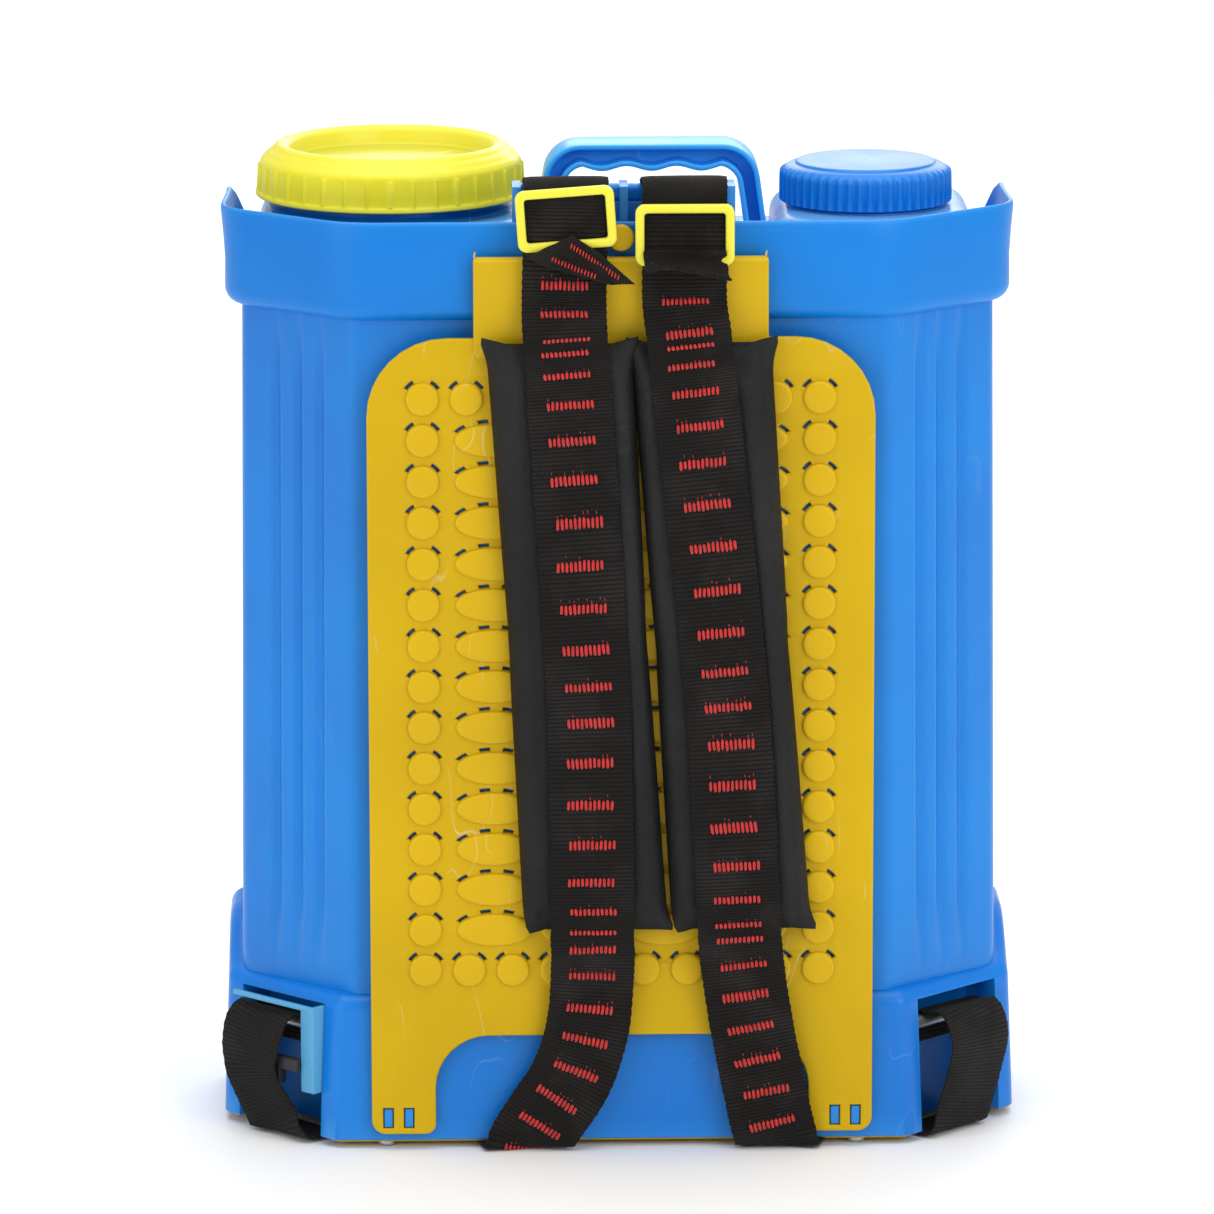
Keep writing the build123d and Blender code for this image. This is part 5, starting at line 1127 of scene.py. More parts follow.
# ---------------------------------------------------------------- webbing
@dataclass
class Ribbon:
    """A flat woven band through stations of (point, direction across, width), sampled smoothly."""

    stations: list[tuple]
    width: float = 40.0
    thick: float = 1.8
    step: float = 2.0
    across_count: int = 12
    waver: float = 0.3
    runs: list[float] = field(default_factory=list)

    def __post_init__(self) -> None:
        """Measures the stations."""
        rows = [(Vector(s[0]), Vector(s[1]).normalized(), s[2] if len(s) > 2 else self.width) for s in self.stations]
        self.stations = rows
        self.runs = [0.0]
        for (a, _, _), (b, _, _) in zip(rows, rows[1:]):
            self.runs.append(self.runs[-1] + (b - a).length)

    def curve(self, values: Sequence, run: float, which: int) -> Union[Vector, float]:
        """A smooth value at a run, through values at the stations."""
        t = self.runs
        last = len(t) - 1

        def slope(i: int) -> Union[Vector, float]:
            """Rate of change at a station, the gentler of its two sides' lengths."""
            a, b = max(i - 1, 0), min(i + 1, last)
            return (values[b] - values[a]) / (t[b] - t[a])
        span = t[which + 1] - t[which]
        u = (run - t[which]) / span
        h00, h10 = 2 * u ** 3 - 3 * u ** 2 + 1, u ** 3 - 2 * u ** 2 + u
        h01, h11 = -2 * u ** 3 + 3 * u ** 2, u ** 3 - u ** 2
        reach_low = min(span, (t[which] - t[which - 1]) * 1.5) if which else span
        reach_high = min(span, (t[which + 2] - t[which + 1]) * 1.5) if which + 2 <= last else span
        return (values[which] * h00 + slope(which) * (h10 * reach_low)
                + values[which + 1] * h01 + slope(which + 1) * (h11 * reach_high))

    def at(self, run: float) -> tuple[Vector, Vector, Vector, float]:
        """Centre, across, outward normal and width at a run along the band."""
        run = min(max(run, 0.0), self.runs[-1] - 1e-6)
        which = max(i for i, t in enumerate(self.runs[:-1]) if t <= run)
        centre = self.curve([s[0] for s in self.stations], run, which)
        ahead = self.curve([s[0] for s in self.stations], min(run + 0.4, self.runs[-1] - 1e-6),
                           which if run + 0.4 < self.runs[which + 1] or which + 2 > len(self.runs) - 1 else which + 1)
        behind_run = max(run - 0.4, 0.0)
        behind_which = max(i for i, t in enumerate(self.runs[:-1]) if t <= behind_run)
        behind = self.curve([s[0] for s in self.stations], behind_run, behind_which)
        share = smooth((run - self.runs[which]) / (self.runs[which + 1] - self.runs[which]))
        across = self.stations[which][1].lerp(self.stations[which + 1][1], share).normalized()
        width = lerp(self.stations[which][2], self.stations[which + 1][2], share)
        along = (ahead - behind).normalized()
        normal = along.cross(across).normalized()
        across = normal.cross(along).normalized()
        return centre, across, normal, width

    def place(self, run: float, side: float, lift: float) -> Vector:
        """A point on the band: side in millimetres from its middle, lift above its front face."""
        centre, across, normal, _ = self.at(run)
        return self.grounded(centre + across * side) + normal * (self.thick / 2 + lift)

    def grounded(self, spot: Vector) -> Vector:
        """A point of the band's middle layer, kept clear of the floor."""
        return Vector((spot.x, spot.y, max(spot.z, self.thick / 2 + 1.2)))

    def form(self) -> Form:
        """The band's mesh."""
        form = Form()
        count = max(2, round(self.runs[-1] / self.step))
        n = self.across_count
        rings = []
        for k in range(count + 1):
            run = self.runs[-1] * k / count
            centre, across, normal, width = self.at(run)
            ring, cloth = [], []
            for face in (1, -1):
                for j in range(n + 1):
                    share = (j / n * 2 - 1) * face
                    rim = 1 - abs(share) ** 10 * 0.45
                    half = width / 2 + (noise.noise(Vector((run * 0.09, share * 3, 1.7))) * self.waver
                                        + (0.18 if k % 2 else -0.18)) * abs(share) ** 6
                    ripple = noise.noise(Vector((run * 0.035, share * 0.9, 5.1))) * self.waver
                    ring.append(self.grounded(centre + across * share * half)
                                + normal * (face * self.thick / 2 * rim + ripple))
                    cloth.append((share * width / 2, run, float(face)))
            rings.append(ring)
            form.cloth += cloth
        form.loft(rings)
        return form


@dataclass
class ShoulderStrap:
    """One strap: webbing over the anchor, through its buckle, over the pad and under the base."""

    side: str
    anchor_x: float
    rows: list[tuple]
    first_tack: float
    tack_pitch: float = 16.3
    tack_width: float = 20.8
    loops: int = 11

    def head(self) -> list[tuple]:
        """Stations from the hem behind the anchor rail, over the rail and the collar."""
        x, across = self.anchor_x, (1, 0, 0)
        rail, top = MID_Y - 67.0, 468.0
        return [((x, rail + 5.9, top - 21), across), ((x, rail + 5.9, top - 2), across),
                ((x, rail + 4.4, top + 1.1), across), ((x, rail, top + 1.4), across),
                ((x, rail - 15, top + 4.9), across), ((x, STRAP_Y + 9, top + 7.4), across),
                ((x, STRAP_Y + 2.5, top + 4.9), across), ((x, STRAP_Y, top + 0.4), across)]

    def stitch(self, band: Ribbon, chance: random.Random) -> Form:
        """Bar tacks of red thread from below the buckle to the end."""
        form = Form()
        run = self.first_tack
        while run < band.runs[-1] - 14:
            lean = chance.uniform(-0.3, 0.3)
            shift = chance.uniform(-0.7, 0.7)
            tall = chance.uniform(1.6, 1.95)
            for k in range(self.loops):
                side = lerp(-self.tack_width / 2, self.tack_width / 2, k / (self.loops - 1)) + shift
                slant = lean + chance.uniform(-0.3, 0.3)
                low, high = -tall + chance.uniform(-0.4, 0.2), tall + chance.uniform(-0.2, 0.4)
                path = [band.place(run + lerp(low, high, t), side + slant * (t - 0.5), lift)
                        for t, lift in ((0, -0.35), (0.18, 0.25), (0.5, 0.42), (0.82, 0.25), (1, -0.35))]
                form.thread(path, 0.78, 6)
                if chance.random() < 0.3:
                    dot = run - tall - chance.uniform(1.6, 3.0)
                    form.thread([band.place(dot, side, -0.15), band.place(dot + 0.7, side, 0.12),
                                 band.place(dot + 1.3, side, -0.15)], 0.22, 4)
            run += self.tack_pitch + chance.uniform(-0.5, 0.5)
        return form

    def assemble(self) -> None:
        """The strap and its stitches."""
        band = Ribbon(self.head() + self.rows)
        form = band.form()
        plain = 78.0
        for i, face in enumerate(form.faces):
            if form.cloth[face[0]][1] < plain:
                form.paint[i] = 1
        strap = form.build(f"{self.side}_shoulder_webbing", Finish.RIBBED, Finish.HERRINGBONE, sharp=70)
        settle(strap, "frame", f"{self.side}_strap")
        chance = random.Random(SEED + len(self.side))
        settle(self.stitch(band, chance).build(f"{self.side}_strap_stitches", Finish.THREAD, sharp=80, tidy=False),
               "frame")


@dataclass
class SlideBuckle:
    """Flat rectangular slide buckle with rounded corners and a bar behind the webbing."""

    side: str
    x: float
    z: float
    tilt: float = 0.0
    half_width: float = 23.4
    half_height: float = 14.7
    rail: float = 4.2

    def spot(self, x: float, y: float, z: float) -> Vector:
        """A point given from the buckle's middle, leaned by its tilt."""
        turn = math.radians(self.tilt)
        return Vector((self.x + x * math.cos(turn) - z * math.sin(turn), y,
                       self.z + x * math.sin(turn) + z * math.cos(turn)))

    def assemble(self) -> None:
        """The buckle on its sliding body."""
        front, rear = STRAP_Y - 4.0, STRAP_Y + 4.0
        w, h, r = self.half_width, self.half_height, self.rail
        outer = rounded([(-w, -h, 4.5), (w, -h, 4.5), (w, h, 4.5), (-w, h, 4.5)], 8)
        inner = rounded([(-w + r, -h + r, 1.6), (w - r, -h + r, 1.6), (w - r, h - r, 1.6), (-w + r, h - r, 1.6)], 8)
        section = ((0.0, front + 0.9), (0.12, front + 0.2), (0.35, front), (0.65, front), (0.88, front + 0.2),
                   (1.0, front + 0.9), (1.0, front + 2.6), (0.8, front + 3.1), (0.2, front + 3.1), (0.0, front + 2.6))
        rings = []
        for (ox, oz), (ix, iz) in zip(outer, inner):
            rings.append([self.spot(lerp(ox, ix, t), y, lerp(oz, iz, t)) for t, y in section])
        frame = Form().loft(rings, loop=True)
        for sx in (-1, 1):
            edge = sx * (w - r / 2)
            plan = rounded([(edge - r / 2 + 0.2, -8, 1.4), (edge + r / 2 - 0.2, -8, 1.4),
                            (edge + r / 2 - 0.2, 8, 1.4), (edge - r / 2 + 0.2, 8, 1.4)], 4)
            frame.loft([[self.spot(px, y, pz) for px, pz in plan] for y in (front + 2.4, rear - 0.4, rear)])
        frame.thread([self.spot(x, rear - 1.4, 0.0) for x in (1 - w, 0.0, w - 1)], 1.5, 12)
        buckle = frame.build(f"{self.side}_slide_buckle", Finish.LID, sharp=50)
        settle(buckle, f"{self.side}_slide", f"{self.side}_buckle")


@dataclass
class LeftTail:
    """Free end of the left strap, folded to a point below its buckle."""

    y: float = STRAP_Y - 5.0

    def assemble(self) -> None:
        """A folded flap in two layers, with its slanted stitches."""
        corners = [(-44.5, 440.5), (-23.5, 450.8), (-10.0, 442.0), (6.2, 427.7), (-5.0, 427.2), (-22.0, 431.5),
                   (-37.0, 436.5)]
        centre = (-20.0, 438.5)
        form = Form()
        levels = ((0.0, 1.6), (0.72, 2.2), (0.93, 1.8), (1.0, 0.9), (1.0, -0.3), (0.95, -0.9), (0.0, -0.9))
        fine: Plan = []
        for (x0, z0), (x1, z1) in zip(corners, corners[1:] + corners[:1]):
            fine += [(lerp(x0, x1, k / 8), lerp(z0, z1, k / 8)) for k in range(8)]
        rings = []
        for reach, lift in levels:
            ring = []
            for x, z in fine:
                px, pz = lerp(centre[0], x, max(reach, 0.02)), lerp(centre[1], z, max(reach, 0.02))
                curl = 2.6 * smooth((px + 12) / 9) + 1.3 * math.sin((px + pz) * 0.35) * reach
                ring.append((px, self.y - 0.7 - lift - curl * 0.6, pz))
                form.cloth.append((px * 0.9 + pz * 0.5, pz * 0.9 - px * 0.5, 1.0))
            rings.append(ring)
        form.loft(rings)
        flap = form.build("left_strap_end", Finish.HERRINGBONE, sharp=70)
        settle(flap, "left_slide", "left_strap_tail")
        chance = random.Random(SEED)
        threads = Form()
        for start, end, count in (((-24.0, 446.0), (-2.0, 431.0), 17), ((-33.0, 439.5), (-13.0, 431.5), 14)):
            for k in range(count):
                x, z = (lerp(a, b, k / (count - 1)) for a, b in zip(start, end))
                lift = self.y - 3.3 - (2.6 * smooth((x + 12) / 9) + 1.3 * math.sin((x + z) * 0.35) * 0.6) * 0.6
                threads.thread([Vector((x, lift + 0.4, z - 1.2)), Vector((x + 0.3, lift, z)),
                                Vector((x + 0.6 + chance.uniform(-0.2, 0.2), lift + 0.4, z + 1.2))], 0.42, 5)
        settle(threads.build("left_end_stitches", Finish.THREAD, tidy=False), "left_slide")


# ---------------------------------------------------------------- pads
@dataclass
class ShoulderPad:
    """Foam pad wrapped in vinyl, swollen by a cloth simulation, creased and folded at its ends."""

    side: str
    top_x: float
    bottom_x: float
    width: float
    top: float = 398.0
    bottom: float = 112.0
    thick: float = 11.0
    rear: float = -96.5
    cell: float = 4.5

    def middle(self, z: float) -> float:
        """The pad's centre line at a height."""
        return lerp(self.bottom_x, self.top_x, (z - self.bottom) / (self.top - self.bottom))

    def cushion(self) -> bpy.types.Object:
        """The closed pad before it swells, slightly slimmer than its finished size."""
        columns = round(self.width / self.cell)
        tall = self.top - self.bottom
        rows = round(tall / self.cell)
        grid_rings = []
        for k in range(rows + 1):
            z = lerp(self.bottom, self.top, k / rows)
            end = min(k, rows - k) * self.cell
            flat = min(1.0, 0.25 + end / 9.0)
            ring = []
            for face in (1, -1):
                for j in range(columns + 1):
                    share = (j / columns * 2 - 1) * face
                    edge = (1 - abs(share)) * self.width / 2
                    puff = min(1.0, 0.25 + (edge / 7.0) ** 0.7) * flat
                    y = self.rear - self.thick / 2 * (1 + face * puff * 0.86)
                    ring.append((self.middle(z) + share * self.width / 2, y, z))
            grid_rings.append(ring)
        return Form().loft(grid_rings).build(f"{self.side}_pad_cover", Finish.VINYL, sharp=180)

    def swell(self, pad: bpy.types.Object, cap: float = 3.2) -> None:
        """Blows the cover up by a short cloth simulation, each point kept within a cap."""
        start = [v.co.copy() for v in pad.data.vertices]
        cloth = pad.modifiers.new("cloth", "CLOTH")
        cloth.settings.quality = 5
        cloth.settings.use_pressure = True
        cloth.settings.uniform_pressure_force = 4.0
        cloth.settings.effector_weights.gravity = 0.0
        cloth.settings.shrink_min = -0.03
        cloth.collision_settings.use_collision = False
        scene = bpy.context.scene
        for frame in range(1, 21):
            scene.frame_set(frame)
        graph = bpy.context.evaluated_depsgraph_get()
        moved = [v.co.copy() for v in pad.evaluated_get(graph).data.vertices]
        pad.modifiers.clear()
        scene.frame_set(1)
        for vertex, a, b in zip(pad.data.vertices, start, moved):
            step = (b - a) * Vector((0.1, 1.0, 0.1))
            length = step.length
            vertex.co = a + (step * min(1.0, cap * MM / length) if length > 0 else step)
        modify(pad, "SUBSURF", levels=1, render_levels=1)

    def press(self, pad: bpy.types.Object, strap: Callable[[float], float]) -> None:
        """Flattens the pad under its strap, pulls out its ears and lays in seams and folds."""
        left, right = -self.width / 2, self.width / 2
        ears = [((self.middle(self.top) + left, self.top), (-4.5, 7.0)),
                ((self.middle(self.top) + right, self.top), (5.0, 7.5)),
                ((self.middle(self.bottom) + left, self.bottom), (2.0, -5.0)),
                ((self.middle(self.bottom) + right, self.bottom), (4.5, -3.5))]
        folds = [(27.0, -1.6, 60.0, 1.0), (27.0, -1.6, 340.0, 1.0), (-26.0, -1.2, 250.0, 0.8)]
        for vertex in pad.data.vertices:
            x, y, z = vertex.co / MM
            front = y < self.rear - self.thick / 2
            side = x - self.middle(z)
            near = abs(x - strap(z))
            if front:
                for offset, depth, _, wide in folds[:1] + folds[2:]:
                    y -= depth * math.exp(-((side - offset) / (wide * 1.1)) ** 2) * 0.8
                for (ex, ez), (dx, dz) in ears[2:]:
                    run = ((x - ex) * -math.copysign(1, ex - self.middle(ez)) + (z - ez)) / 2
                    off = abs((x - ex) * -math.copysign(1, ex - self.middle(ez)) - (z - ez))
                    if 0 < run < 22:
                        y += 1.0 * math.exp(-(off / 1.6) ** 2) * smooth((22 - run) / 8)
                y += 0.8 * noise.noise(Vector((x * 0.05, z * 0.012, 3.0 + len(self.side))))
                y += 0.5 * noise.noise(Vector((x * 0.02, z * 0.09, 8.0)))
                limit = lerp(PAD_FRONT_Y + 0.5, PAD_FRONT_Y - 1.6, smooth((near - 20.5) / 7.0))
                y = max(y, limit)
            y = min(y, self.rear + 0.3)
            for (ex, ez), (dx, dz) in ears:
                pull = math.exp(-(((x - ex) ** 2 + (z - ez) ** 2) / 42.0))
                x += dx * pull * 0.9
                z += dz * pull * 0.9
                y += (self.rear - self.thick * 0.75 - y) * pull * 0.5
            vertex.co = Vector((x, y, z)) * MM

    def assemble(self, strap: Callable[[float], float]) -> None:
        """The finished pad."""
        pad = self.cushion()
        self.swell(pad)
        self.press(pad, strap)
        soften(pad, 75.0, False)
        pad.data.materials.clear()
        pad.data.materials.append(PAINT[Finish.VINYL])
        Finish.VINYL.slot
        settle(pad, "frame", f"{self.side}_shoulder_pad")


# ---------------------------------------------------------------- base
@dataclass
class CornerFrame:
    """Directions of a cut-off front corner of the base: along it to the front, and outwards."""

    side: int
    half_width: float = 193.5
    half_depth: float = 95.0

    def point(self, u: float, v: float, z: float) -> Vector:
        """A point from its place along the corner, outwards and up."""
        front = Vector((self.side * (self.half_width - BASE_CUT[0]), MID_Y - self.half_depth))
        end = Vector((self.side * self.half_width, MID_Y - self.half_depth + BASE_CUT[1]))
        along = (front - end).normalized()
        out = Vector((self.side * BASE_CUT[1], -BASE_CUT[0])).normalized()
        spot = (front + end) / 2 + along * u + out * v
        return Vector((spot.x, spot.y, z))

    def across(self, rise: float) -> tuple[float, float, float]:
        """Direction along the corner, tilted upwards."""
        step = self.point(1, 0, 0) - self.point(0, 0, 0)
        return (step.x, step.y, rise)

    def slab(self, u: tuple[float, float], v: tuple[float, float], z: tuple[float, float]) -> Form:
        """A box in the corner's directions."""
        rings = [[self.point(a, b, h) for a, b in ((u[0], v[0]), (u[1], v[0]), (u[1], v[1]), (u[0], v[1]))] for h in z]
        return Form().loft(rings)


@dataclass
class BaseSkirt:
    """The base housing: drafted skirt with a rolled top edge, strap pockets and the control panel."""

    half_width: float = 193.5
    half_depth: float = 95.0
    draft: float = 2.5
    bottom: float = 4.0
    front_top: float = 76.0
    rear_top: float = 98.0
    roll: float = 8.0
    wall: float = 3.0

    def top(self, y: float) -> float:
        """Height of the top edge at a depth."""
        return lerp(self.front_top, self.rear_top, smooth((y - MID_Y + 46) / 56))

    def ring(self, share: float, inset: float, raise_by: float, fixed: Optional[float] = None) -> list[Vector]:
        """One outline: share of the height, inset, and height above the top edge."""
        w, d = (s - inset - self.draft * share for s in (self.half_width, self.half_depth))
        corners = []
        for sx, sy in ((1, -1), (1, 1), (-1, 1), (-1, -1)):
            pair = [(sx * (w - BASE_CUT[0] + inset * 0.4), sy * d), (sx * w, sy * (d - BASE_CUT[1] + inset * 0.4))]
            corners += pair if sx * sy < 0 else pair[::-1]
        outline = rounded([(x, y, max(2.0, 9.0 - inset)) for x, y in corners])
        ring = []
        for i, (x, y) in enumerate(outline):
            nx, ny = outline[(i + 1) % len(outline)]
            steps = 10 if i % 7 == 6 else 1
            for k in range(steps):
                px, py = lerp(x, nx, k / steps), lerp(y, ny, k / steps) + MID_Y
                z = fixed if fixed is not None else lerp(self.bottom, self.top(py) - self.roll, share) + raise_by
                ring.append(Vector((px, py, z)))
        return ring

    def assemble(self) -> None:
        """The housing, with its pockets cut and the panel added."""
        rings = [self.ring(0, 0.8, 0), self.ring(0.01, 0.1, 0)] + [self.ring(k / 5, 0, 0) for k in range(1, 6)]
        for k in range(1, 8):
            turn = math.pi / 2 * k / 7
            rings.append(self.ring(1, self.roll * (1 - math.cos(turn)), self.roll * math.sin(turn)))
        rings.append(self.ring(1, self.roll + 3, self.roll - 3))
        rings.append(self.ring(1, self.roll + 3, -6))
        outer = Form().loft(rings).build("base_skirt", Finish.BLUE, sharp=50)
        hollow = [self.ring(0, self.wall, 0, -5.0)] + [self.ring(k / 3, self.wall, 0) for k in range(1, 4)]
        hollow.append(self.ring(1, self.roll + 6, 4))
        hollow.append(self.ring(1, self.roll + 6, 30))
        inner = Form().loft(hollow).build("hollow", Finish.BLUE)
        for sx in (-1, 1):
            corner = CornerFrame(sx)
            carve(inner, [corner.slab((-31, 31), (-25, 12), (-20, 73)).build("pocket_wall", Finish.BLUE)], "DIFFERENCE")
        panel = bevelled(Form().slab((-62, MID_Y + 86, 26), (138, MID_Y + 97, 76)).build("panel_box", Finish.BLUE), 1.5)
        carve(outer, [panel], "UNION")
        carve(outer, [inner], "DIFFERENCE")
        cutters = []
        for sx in (-1, 1):
            cutters.append(CornerFrame(sx).slab((-28, 28), (-22, 12), (-5, 70)).build("pocket", Finish.BLUE))
        cutters.append(Form().slab((-58, MID_Y + 60, 30), (134, MID_Y + 93.5, 72)).build("recess", Finish.BLUE))
        cutters.append(Form().slab((-43.2, 90, 40.3), (-16.8, 110, 61.7)).build("rocker_hole", Finish.BLUE))
        for x, z, radius in ((12.0, 51.0, 11.7), (60.0, 51.0, 4.7), (108.0, 51.0, 5.7), (-118.0, 26.0, 7.2)):
            hole = Form().turn(x, z, [(radius, 80), (radius, 110)], 48, upright=False)
            cutters.append(hole.build("hole", Finish.BLUE))
        carve(outer, cutters, "DIFFERENCE")
        bevelled(outer, 1.0, 50)
        soften(outer, 40.0)
        settle(outer, "frame", "base_housing")
        hooks = Form()
        for x in (-113, -103, 103, 113):
            hooks.slab((x - 2, -93.3, 11.5), (x + 2, -88.0, 20.5))
        settle(bevelled(hooks.build("plate_hooks", Finish.BLUE), 0.5), "frame")


@dataclass
class CornerStrap:
    """Lower strap: over the pocket's bar, bulging out of the pocket and going under the base."""

    side: str
    frame: CornerFrame
    start_u: float
    start_width: float
    rows: list[tuple]

    def assemble(self) -> None:
        """The strap's webbing."""
        stations = []
        radius, centre = 3.5 + 0.9 + 0.4, -11.0
        loop = [(self.start_u, centre - radius, 44.0, 0.0, self.start_width)]
        for angle in (180, 135, 90, 50):
            turn = math.radians(angle)
            loop.append((self.start_u, centre + radius * math.cos(turn), 56.0 + radius * math.sin(turn), 0.0,
                         self.start_width))
        for u, v, z, rise, width in loop + self.rows:
            stations.append((self.frame.point(u, v, z), self.frame.across(rise), width))
        form = Ribbon(stations, waver=0.5).form()
        strap = form.build(f"{self.side}_corner_webbing", Finish.RIBBED, sharp=70)
        settle(strap, "frame", f"{self.side}_corner_strap")


# ---------------------------------------------------------------- works and studio
NODE_FINISHES: dict[str, Finish] = {
    "filler_strainer": Finish.STRAINER, "lid_gasket": Finish.RUBBER, "lid_breather": Finish.RUBBER,
    "small_cap_gasket": Finish.RUBBER, "handle_screws": Finish.STEEL, "anchor_screws": Finish.STEEL,
    "bottom_tray": Finish.PLATE, "tray_screws": Finish.STEEL, "left_strap_bar": Finish.STEEL,
    "right_strap_bar": Finish.STEEL, "battery": Finish.BLACK, "battery_clamp": Finish.ZINC,
    "clamp_screws": Finish.STEEL, "pump_cover": Finish.BLACK, "pump_diaphragm": Finish.RUBBER,
    "pump_head": Finish.BLACK, "pump_motor": Finish.ZINC, "pump_rotor": Finish.STEEL, "pump_bracket": Finish.ZINC,
    "pump_bushes": Finish.RUBBER, "pump_screws": Finish.STEEL, "tank_outlet": Finish.BLACK,
    "tank_outlet_nut": Finish.BLACK, "intake_filter": Finish.STRAINER, "suction_hose": Finish.HOSE,
    "delivery_hose": Finish.HOSE, "outlet_fitting": Finish.BLACK, "outlet_nut": Finish.BLACK,
    "power_switch": Finish.BLACK, "power_rocker": Finish.RED, "battery_gauge": Finish.BLACK,
    "gauge_lens": Finish.LENS, "speed_control": Finish.BLACK, "pressure_knob": Finish.LID,
    "charge_socket": Finish.BLACK, "charge_cap": Finish.BLACK, "battery_lead": Finish.WIRE, "motor_lead": Finish.WIRE,
}
SOFTENED = ("bottom_tray", "pump_cover", "pump_head", "battery", "power_switch", "power_rocker", "battery_gauge",
            "pressure_knob", "charge_socket", "charge_cap", "outlet_fitting", "battery_clamp", "pump_bracket",
            "handle_screws", "anchor_screws", "tray_screws", "filler_strainer")


class Works:
    """The CAD parts that show as they are, with finishes and eased edges."""

    def assemble(self) -> None:
        """Dresses every carried-over node."""
        for node, finish in NODE_FINISHES.items():
            made = bpy.data.objects[node]
            made.data.materials.clear()
            made.data.materials.append(PAINT[finish])
            finish.slot
            if node in SOFTENED:
                weld = made.modifiers.new("weld", "WELD")
                weld.merge_threshold = 1e-5
                ease = made.modifiers.new("ease", "BEVEL")
                ease.width, ease.segments = 0.35 * MM, 2
                ease.limit_method, ease.angle_limit = "ANGLE", math.radians(40)
            LOG.info("%s dressed as %s", node, finish.name)


@dataclass
class Studio:
    """Pale floor, soft lights and the camera."""

    focal: float = 238.4
    distance: float = 3940.0
    aim: tuple[float, float, float] = (0.0, MID_Y, 240.0)
    azimuth: float = -1.3
    elevation: float = 12.3
    roll: float = -0.1
    shift: tuple[float, float] = (9.5 / 8040.0, -14.0 / 8040.0)
    sky: float = 0.55

    def lamp(self, name: str, place: Sequence[float], size: float, power: float) -> None:
        """A soft square lamp aimed at the sprayer's middle."""
        light = bpy.data.lights.new(name, "AREA")
        light.size, light.energy = size, power
        made = bpy.data.objects.new(name, light)
        bpy.context.scene.collection.objects.link(made)
        made.location = place
        made.rotation_mode = "QUATERNION"
        made.rotation_quaternion = (Vector((0, 0, 0.24)) - Vector(place)).to_track_quat("-Z", "Y")

    def assemble(self) -> None:
        """Builds the set."""
        world = bpy.data.worlds.new("studio")
        world.use_nodes = True
        tree = world.node_tree
        back = tree.nodes["Background"]
        back.inputs[1].default_value = self.sky
        seen = tree.nodes.new("ShaderNodeBackground")
        blend = tree.nodes.new("ShaderNodeMixShader")
        path = tree.nodes.new("ShaderNodeLightPath")
        for node in (back, seen):
            node.inputs[0].default_value = (1.0, 1.0, 1.0, 1.0)
        tree.links.new(path.outputs["Is Camera Ray"], blend.inputs[0])
        tree.links.new(back.outputs[0], blend.inputs[1])
        tree.links.new(seen.outputs[0], blend.inputs[2])
        tree.links.new(blend.outputs[0], tree.nodes["World Output"].inputs[0])
        bpy.context.scene.world = world
        floor = Form().slab((-9000, -9000, -20), (9000, 9000, 0)).build("studio_floor")
        g = Graph("studio_floor_paint")
        soft = g.noise(g.place(), 3.0, 2.0)
        floor.data.materials.append(g.dress({}, base_color=g.mix(soft, (0.93, 0.93, 0.93), (0.90, 0.90, 0.90)),
                                            roughness=0.75 + soft * 0.1))
        overhead = bpy.data.lights.new("overhead", "SUN")
        overhead.energy, overhead.angle = 1.75, math.radians(60)
        bpy.context.scene.collection.objects.link(bpy.data.objects.new("overhead", overhead))
        self.lamp("key", (1.5, -2.2, 1.6), 1.6, 22.0)
        self.lamp("fill", (-1.9, -1.7, 1.0), 1.8, 11.0)
        self.lamp("rear", (0.4, 2.4, 1.6), 1.8, 26.0)
        a, e, r = (math.radians(v) for v in (self.azimuth, self.elevation, self.roll))
        back_way = Vector((math.sin(a) * math.cos(e), -math.cos(a) * math.cos(e), math.sin(e)))
        right = Vector((math.cos(a), math.sin(a), 0))
        up = back_way.cross(right)
        right, up = right * math.cos(r) + up * math.sin(r), up * math.cos(r) - right * math.sin(r)
        ray = (-back_way + right * self.shift[0] + up * self.shift[1]).normalized()
        data = bpy.data.cameras.new("camera")
        data.lens, data.sensor_width = self.focal, 36.0
        data.clip_end = 50.0
        camera = bpy.data.objects.new("camera", data)
        bpy.context.scene.collection.objects.link(camera)
        axes = [right, up, back_way]
        turn = Matrix([[axis[i] for axis in axes] for i in range(3)])
        camera.matrix_world = Matrix.Translation((Vector(self.aim) - ray * self.distance) * MM) @ turn.to_4x4()
        bpy.context.scene.camera = camera
        bpy.context.scene.view_settings.view_transform = "Standard"


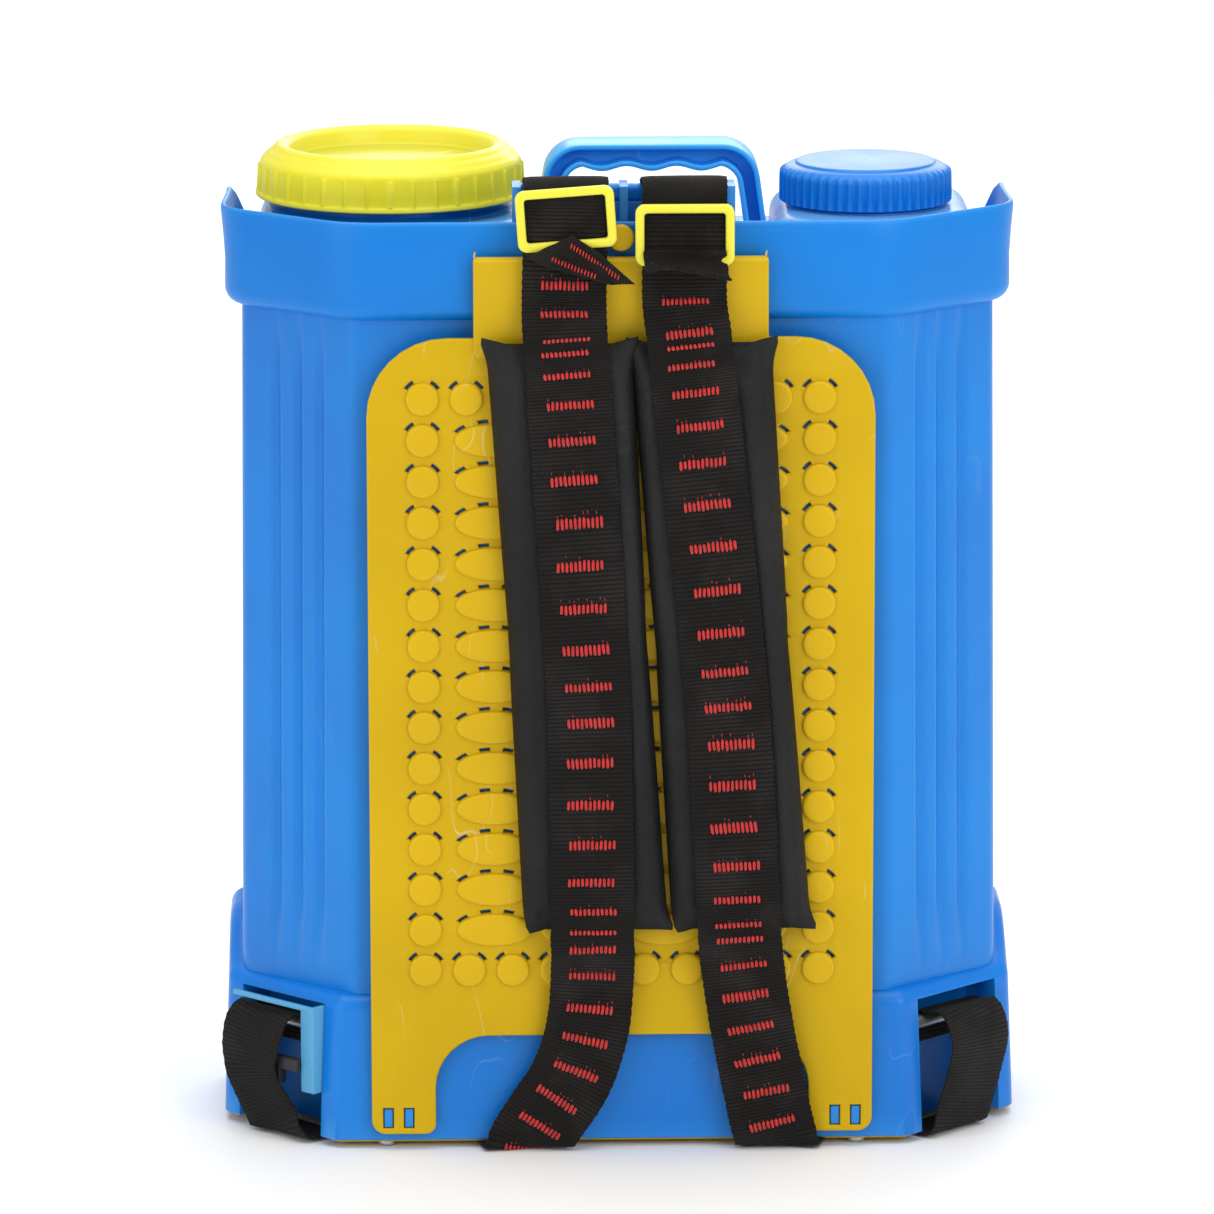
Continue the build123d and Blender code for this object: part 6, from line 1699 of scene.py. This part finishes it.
def main() -> None:
    """Builds every sub-assembly in order."""
    logging.basicConfig(level=logging.INFO, format="%(name)s: %(message)s", stream=sys.stdout)
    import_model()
    across = (1, 0, 0)
    TankShell().assemble()
    FillerLid().assemble()
    SmallCap().assemble()
    CarryHandle().assemble()
    settle(copied("strap_anchor", "strap_anchor_block", Finish.BLUE, 1.4, 3), "frame")
    wall = Form().slab((-43, MID_Y - 71.5, 432), (47, MID_Y - 62.5, 461)).build("strap_anchor_wall", Finish.BLUE)
    settle(bevelled(wall, 2.5, 35, 3), "frame")
    BackPlate().assemble()
    left_rows = [((-27.0, STRAP_Y, 418), across), ((-26.8, PAD_STRAP_Y, 402), across),
                 ((-16.2, PAD_STRAP_Y, 229), across), ((-14.5, PAD_STRAP_Y, 109), across),
                 ((-14.2, -104, 94), across), ((-16.6, -101, 64), (1, 0, -0.05)), ((-24.4, -100, 38), (1, 0, -0.2)),
                 ((-37.0, -99, 18), (1, 0, -0.25)), ((-44.0, -97, 7), (1, 0, -0.1)),
                 ((-47.0, -93, 1.5), (1, -0.05, 0)), ((-52.0, -75, 1.3), (1, -0.2, 0))]
    right_rows = [((30.0, STRAP_Y, 418), across), ((31.8, PAD_STRAP_Y, 402), across),
                  ((49.8, PAD_STRAP_Y, 229), across), ((56.3, PAD_STRAP_Y, 109), across),
                  ((57.8, -104, 94), across), ((62.2, -101, 64), (1, 0, 0.1)), ((68.2, -100, 34), (1, 0, 0.15)),
                  ((72.0, -99, 15), (1, 0, 0.1)), ((74.5, -97, 6), across), ((75.5, -93, 1.5), across),
                  ((80.0, -79, 1.3), (1, 0.1, 0))]
    ShoulderStrap("left", -26.0, left_rows, 111.0).assemble()
    ShoulderStrap("right", 30.0, right_rows, 120.5).assemble()
    SlideBuckle("left", -26.2, 458.0, 4.0).assemble()
    SlideBuckle("right", 30.0, 450.0).assemble()
    LeftTail().assemble()
    right_tail = Ribbon([((30.1, -106.5, 443.0), across), ((30.1, -106.6, 438.5), across),
                         ((31, -109.6, 435.4), (1, 0, -0.1)), ((32, -114.0, 434.4), (1, 0, -0.2)),
                         ((33, -118.5, 435.2), (1, 0, -0.21))], width=39.0)
    settle(right_tail.form().build("right_strap_end", Finish.HERRINGBONE, sharp=70), "right_slide", "right_strap_tail")
    ShoulderPad("left", -29.6, -12.6, 69.4).assemble(lambda z: lerp(-14.5, -26.8, (z - 109) / 293))
    ShoulderPad("right", 37.6, 57.4, 67.0).assemble(lambda z: lerp(56.3, 31.8, (z - 109) / 293))
    BaseSkirt().assemble()
    settle(copied("left_corner_clip", "corner_channel_clip", Finish.CLIP, 0.5), "frame")
    settle(copied("left_strap_hook", "strap_hook", Finish.BLACK, 0.7), "frame")
    left_corner = [(-7, 1, 61.5, 0, 40), (-9, 7, 56, 0, 40), (-10, 10, 44, 0, 38), (-9.5, 10.5, 34, 0.2, 34),
                   (-7, 8, 24, 0.2, 33), (-2, 5, 13, 0.1, 36), (2, 3, 5, 0, 38), (4, -2, 1.4, 0, 38),
                   (5, -18, 1.3, 0, 38)]
    right_corner = [(-2, 1, 62, 0, 40), (-3, 7, 56, 0, 40), (-3, 9.5, 44, 0, 40), (-1, 7, 28, 0, 40),
                    (2, 4.5, 14, 0, 40), (4, 2.5, 5, 0, 40), (5, -2.5, 1.4, 0, 40), (6, -18, 1.3, 0, 40)]
    CornerStrap("left", CornerFrame(-1), -5, 38, left_corner).assemble()
    CornerStrap("right", CornerFrame(1), -2, 40, right_corner).assemble()
    Works().assemble()
    Studio().assemble()


if __name__ == "__main__":
    main()
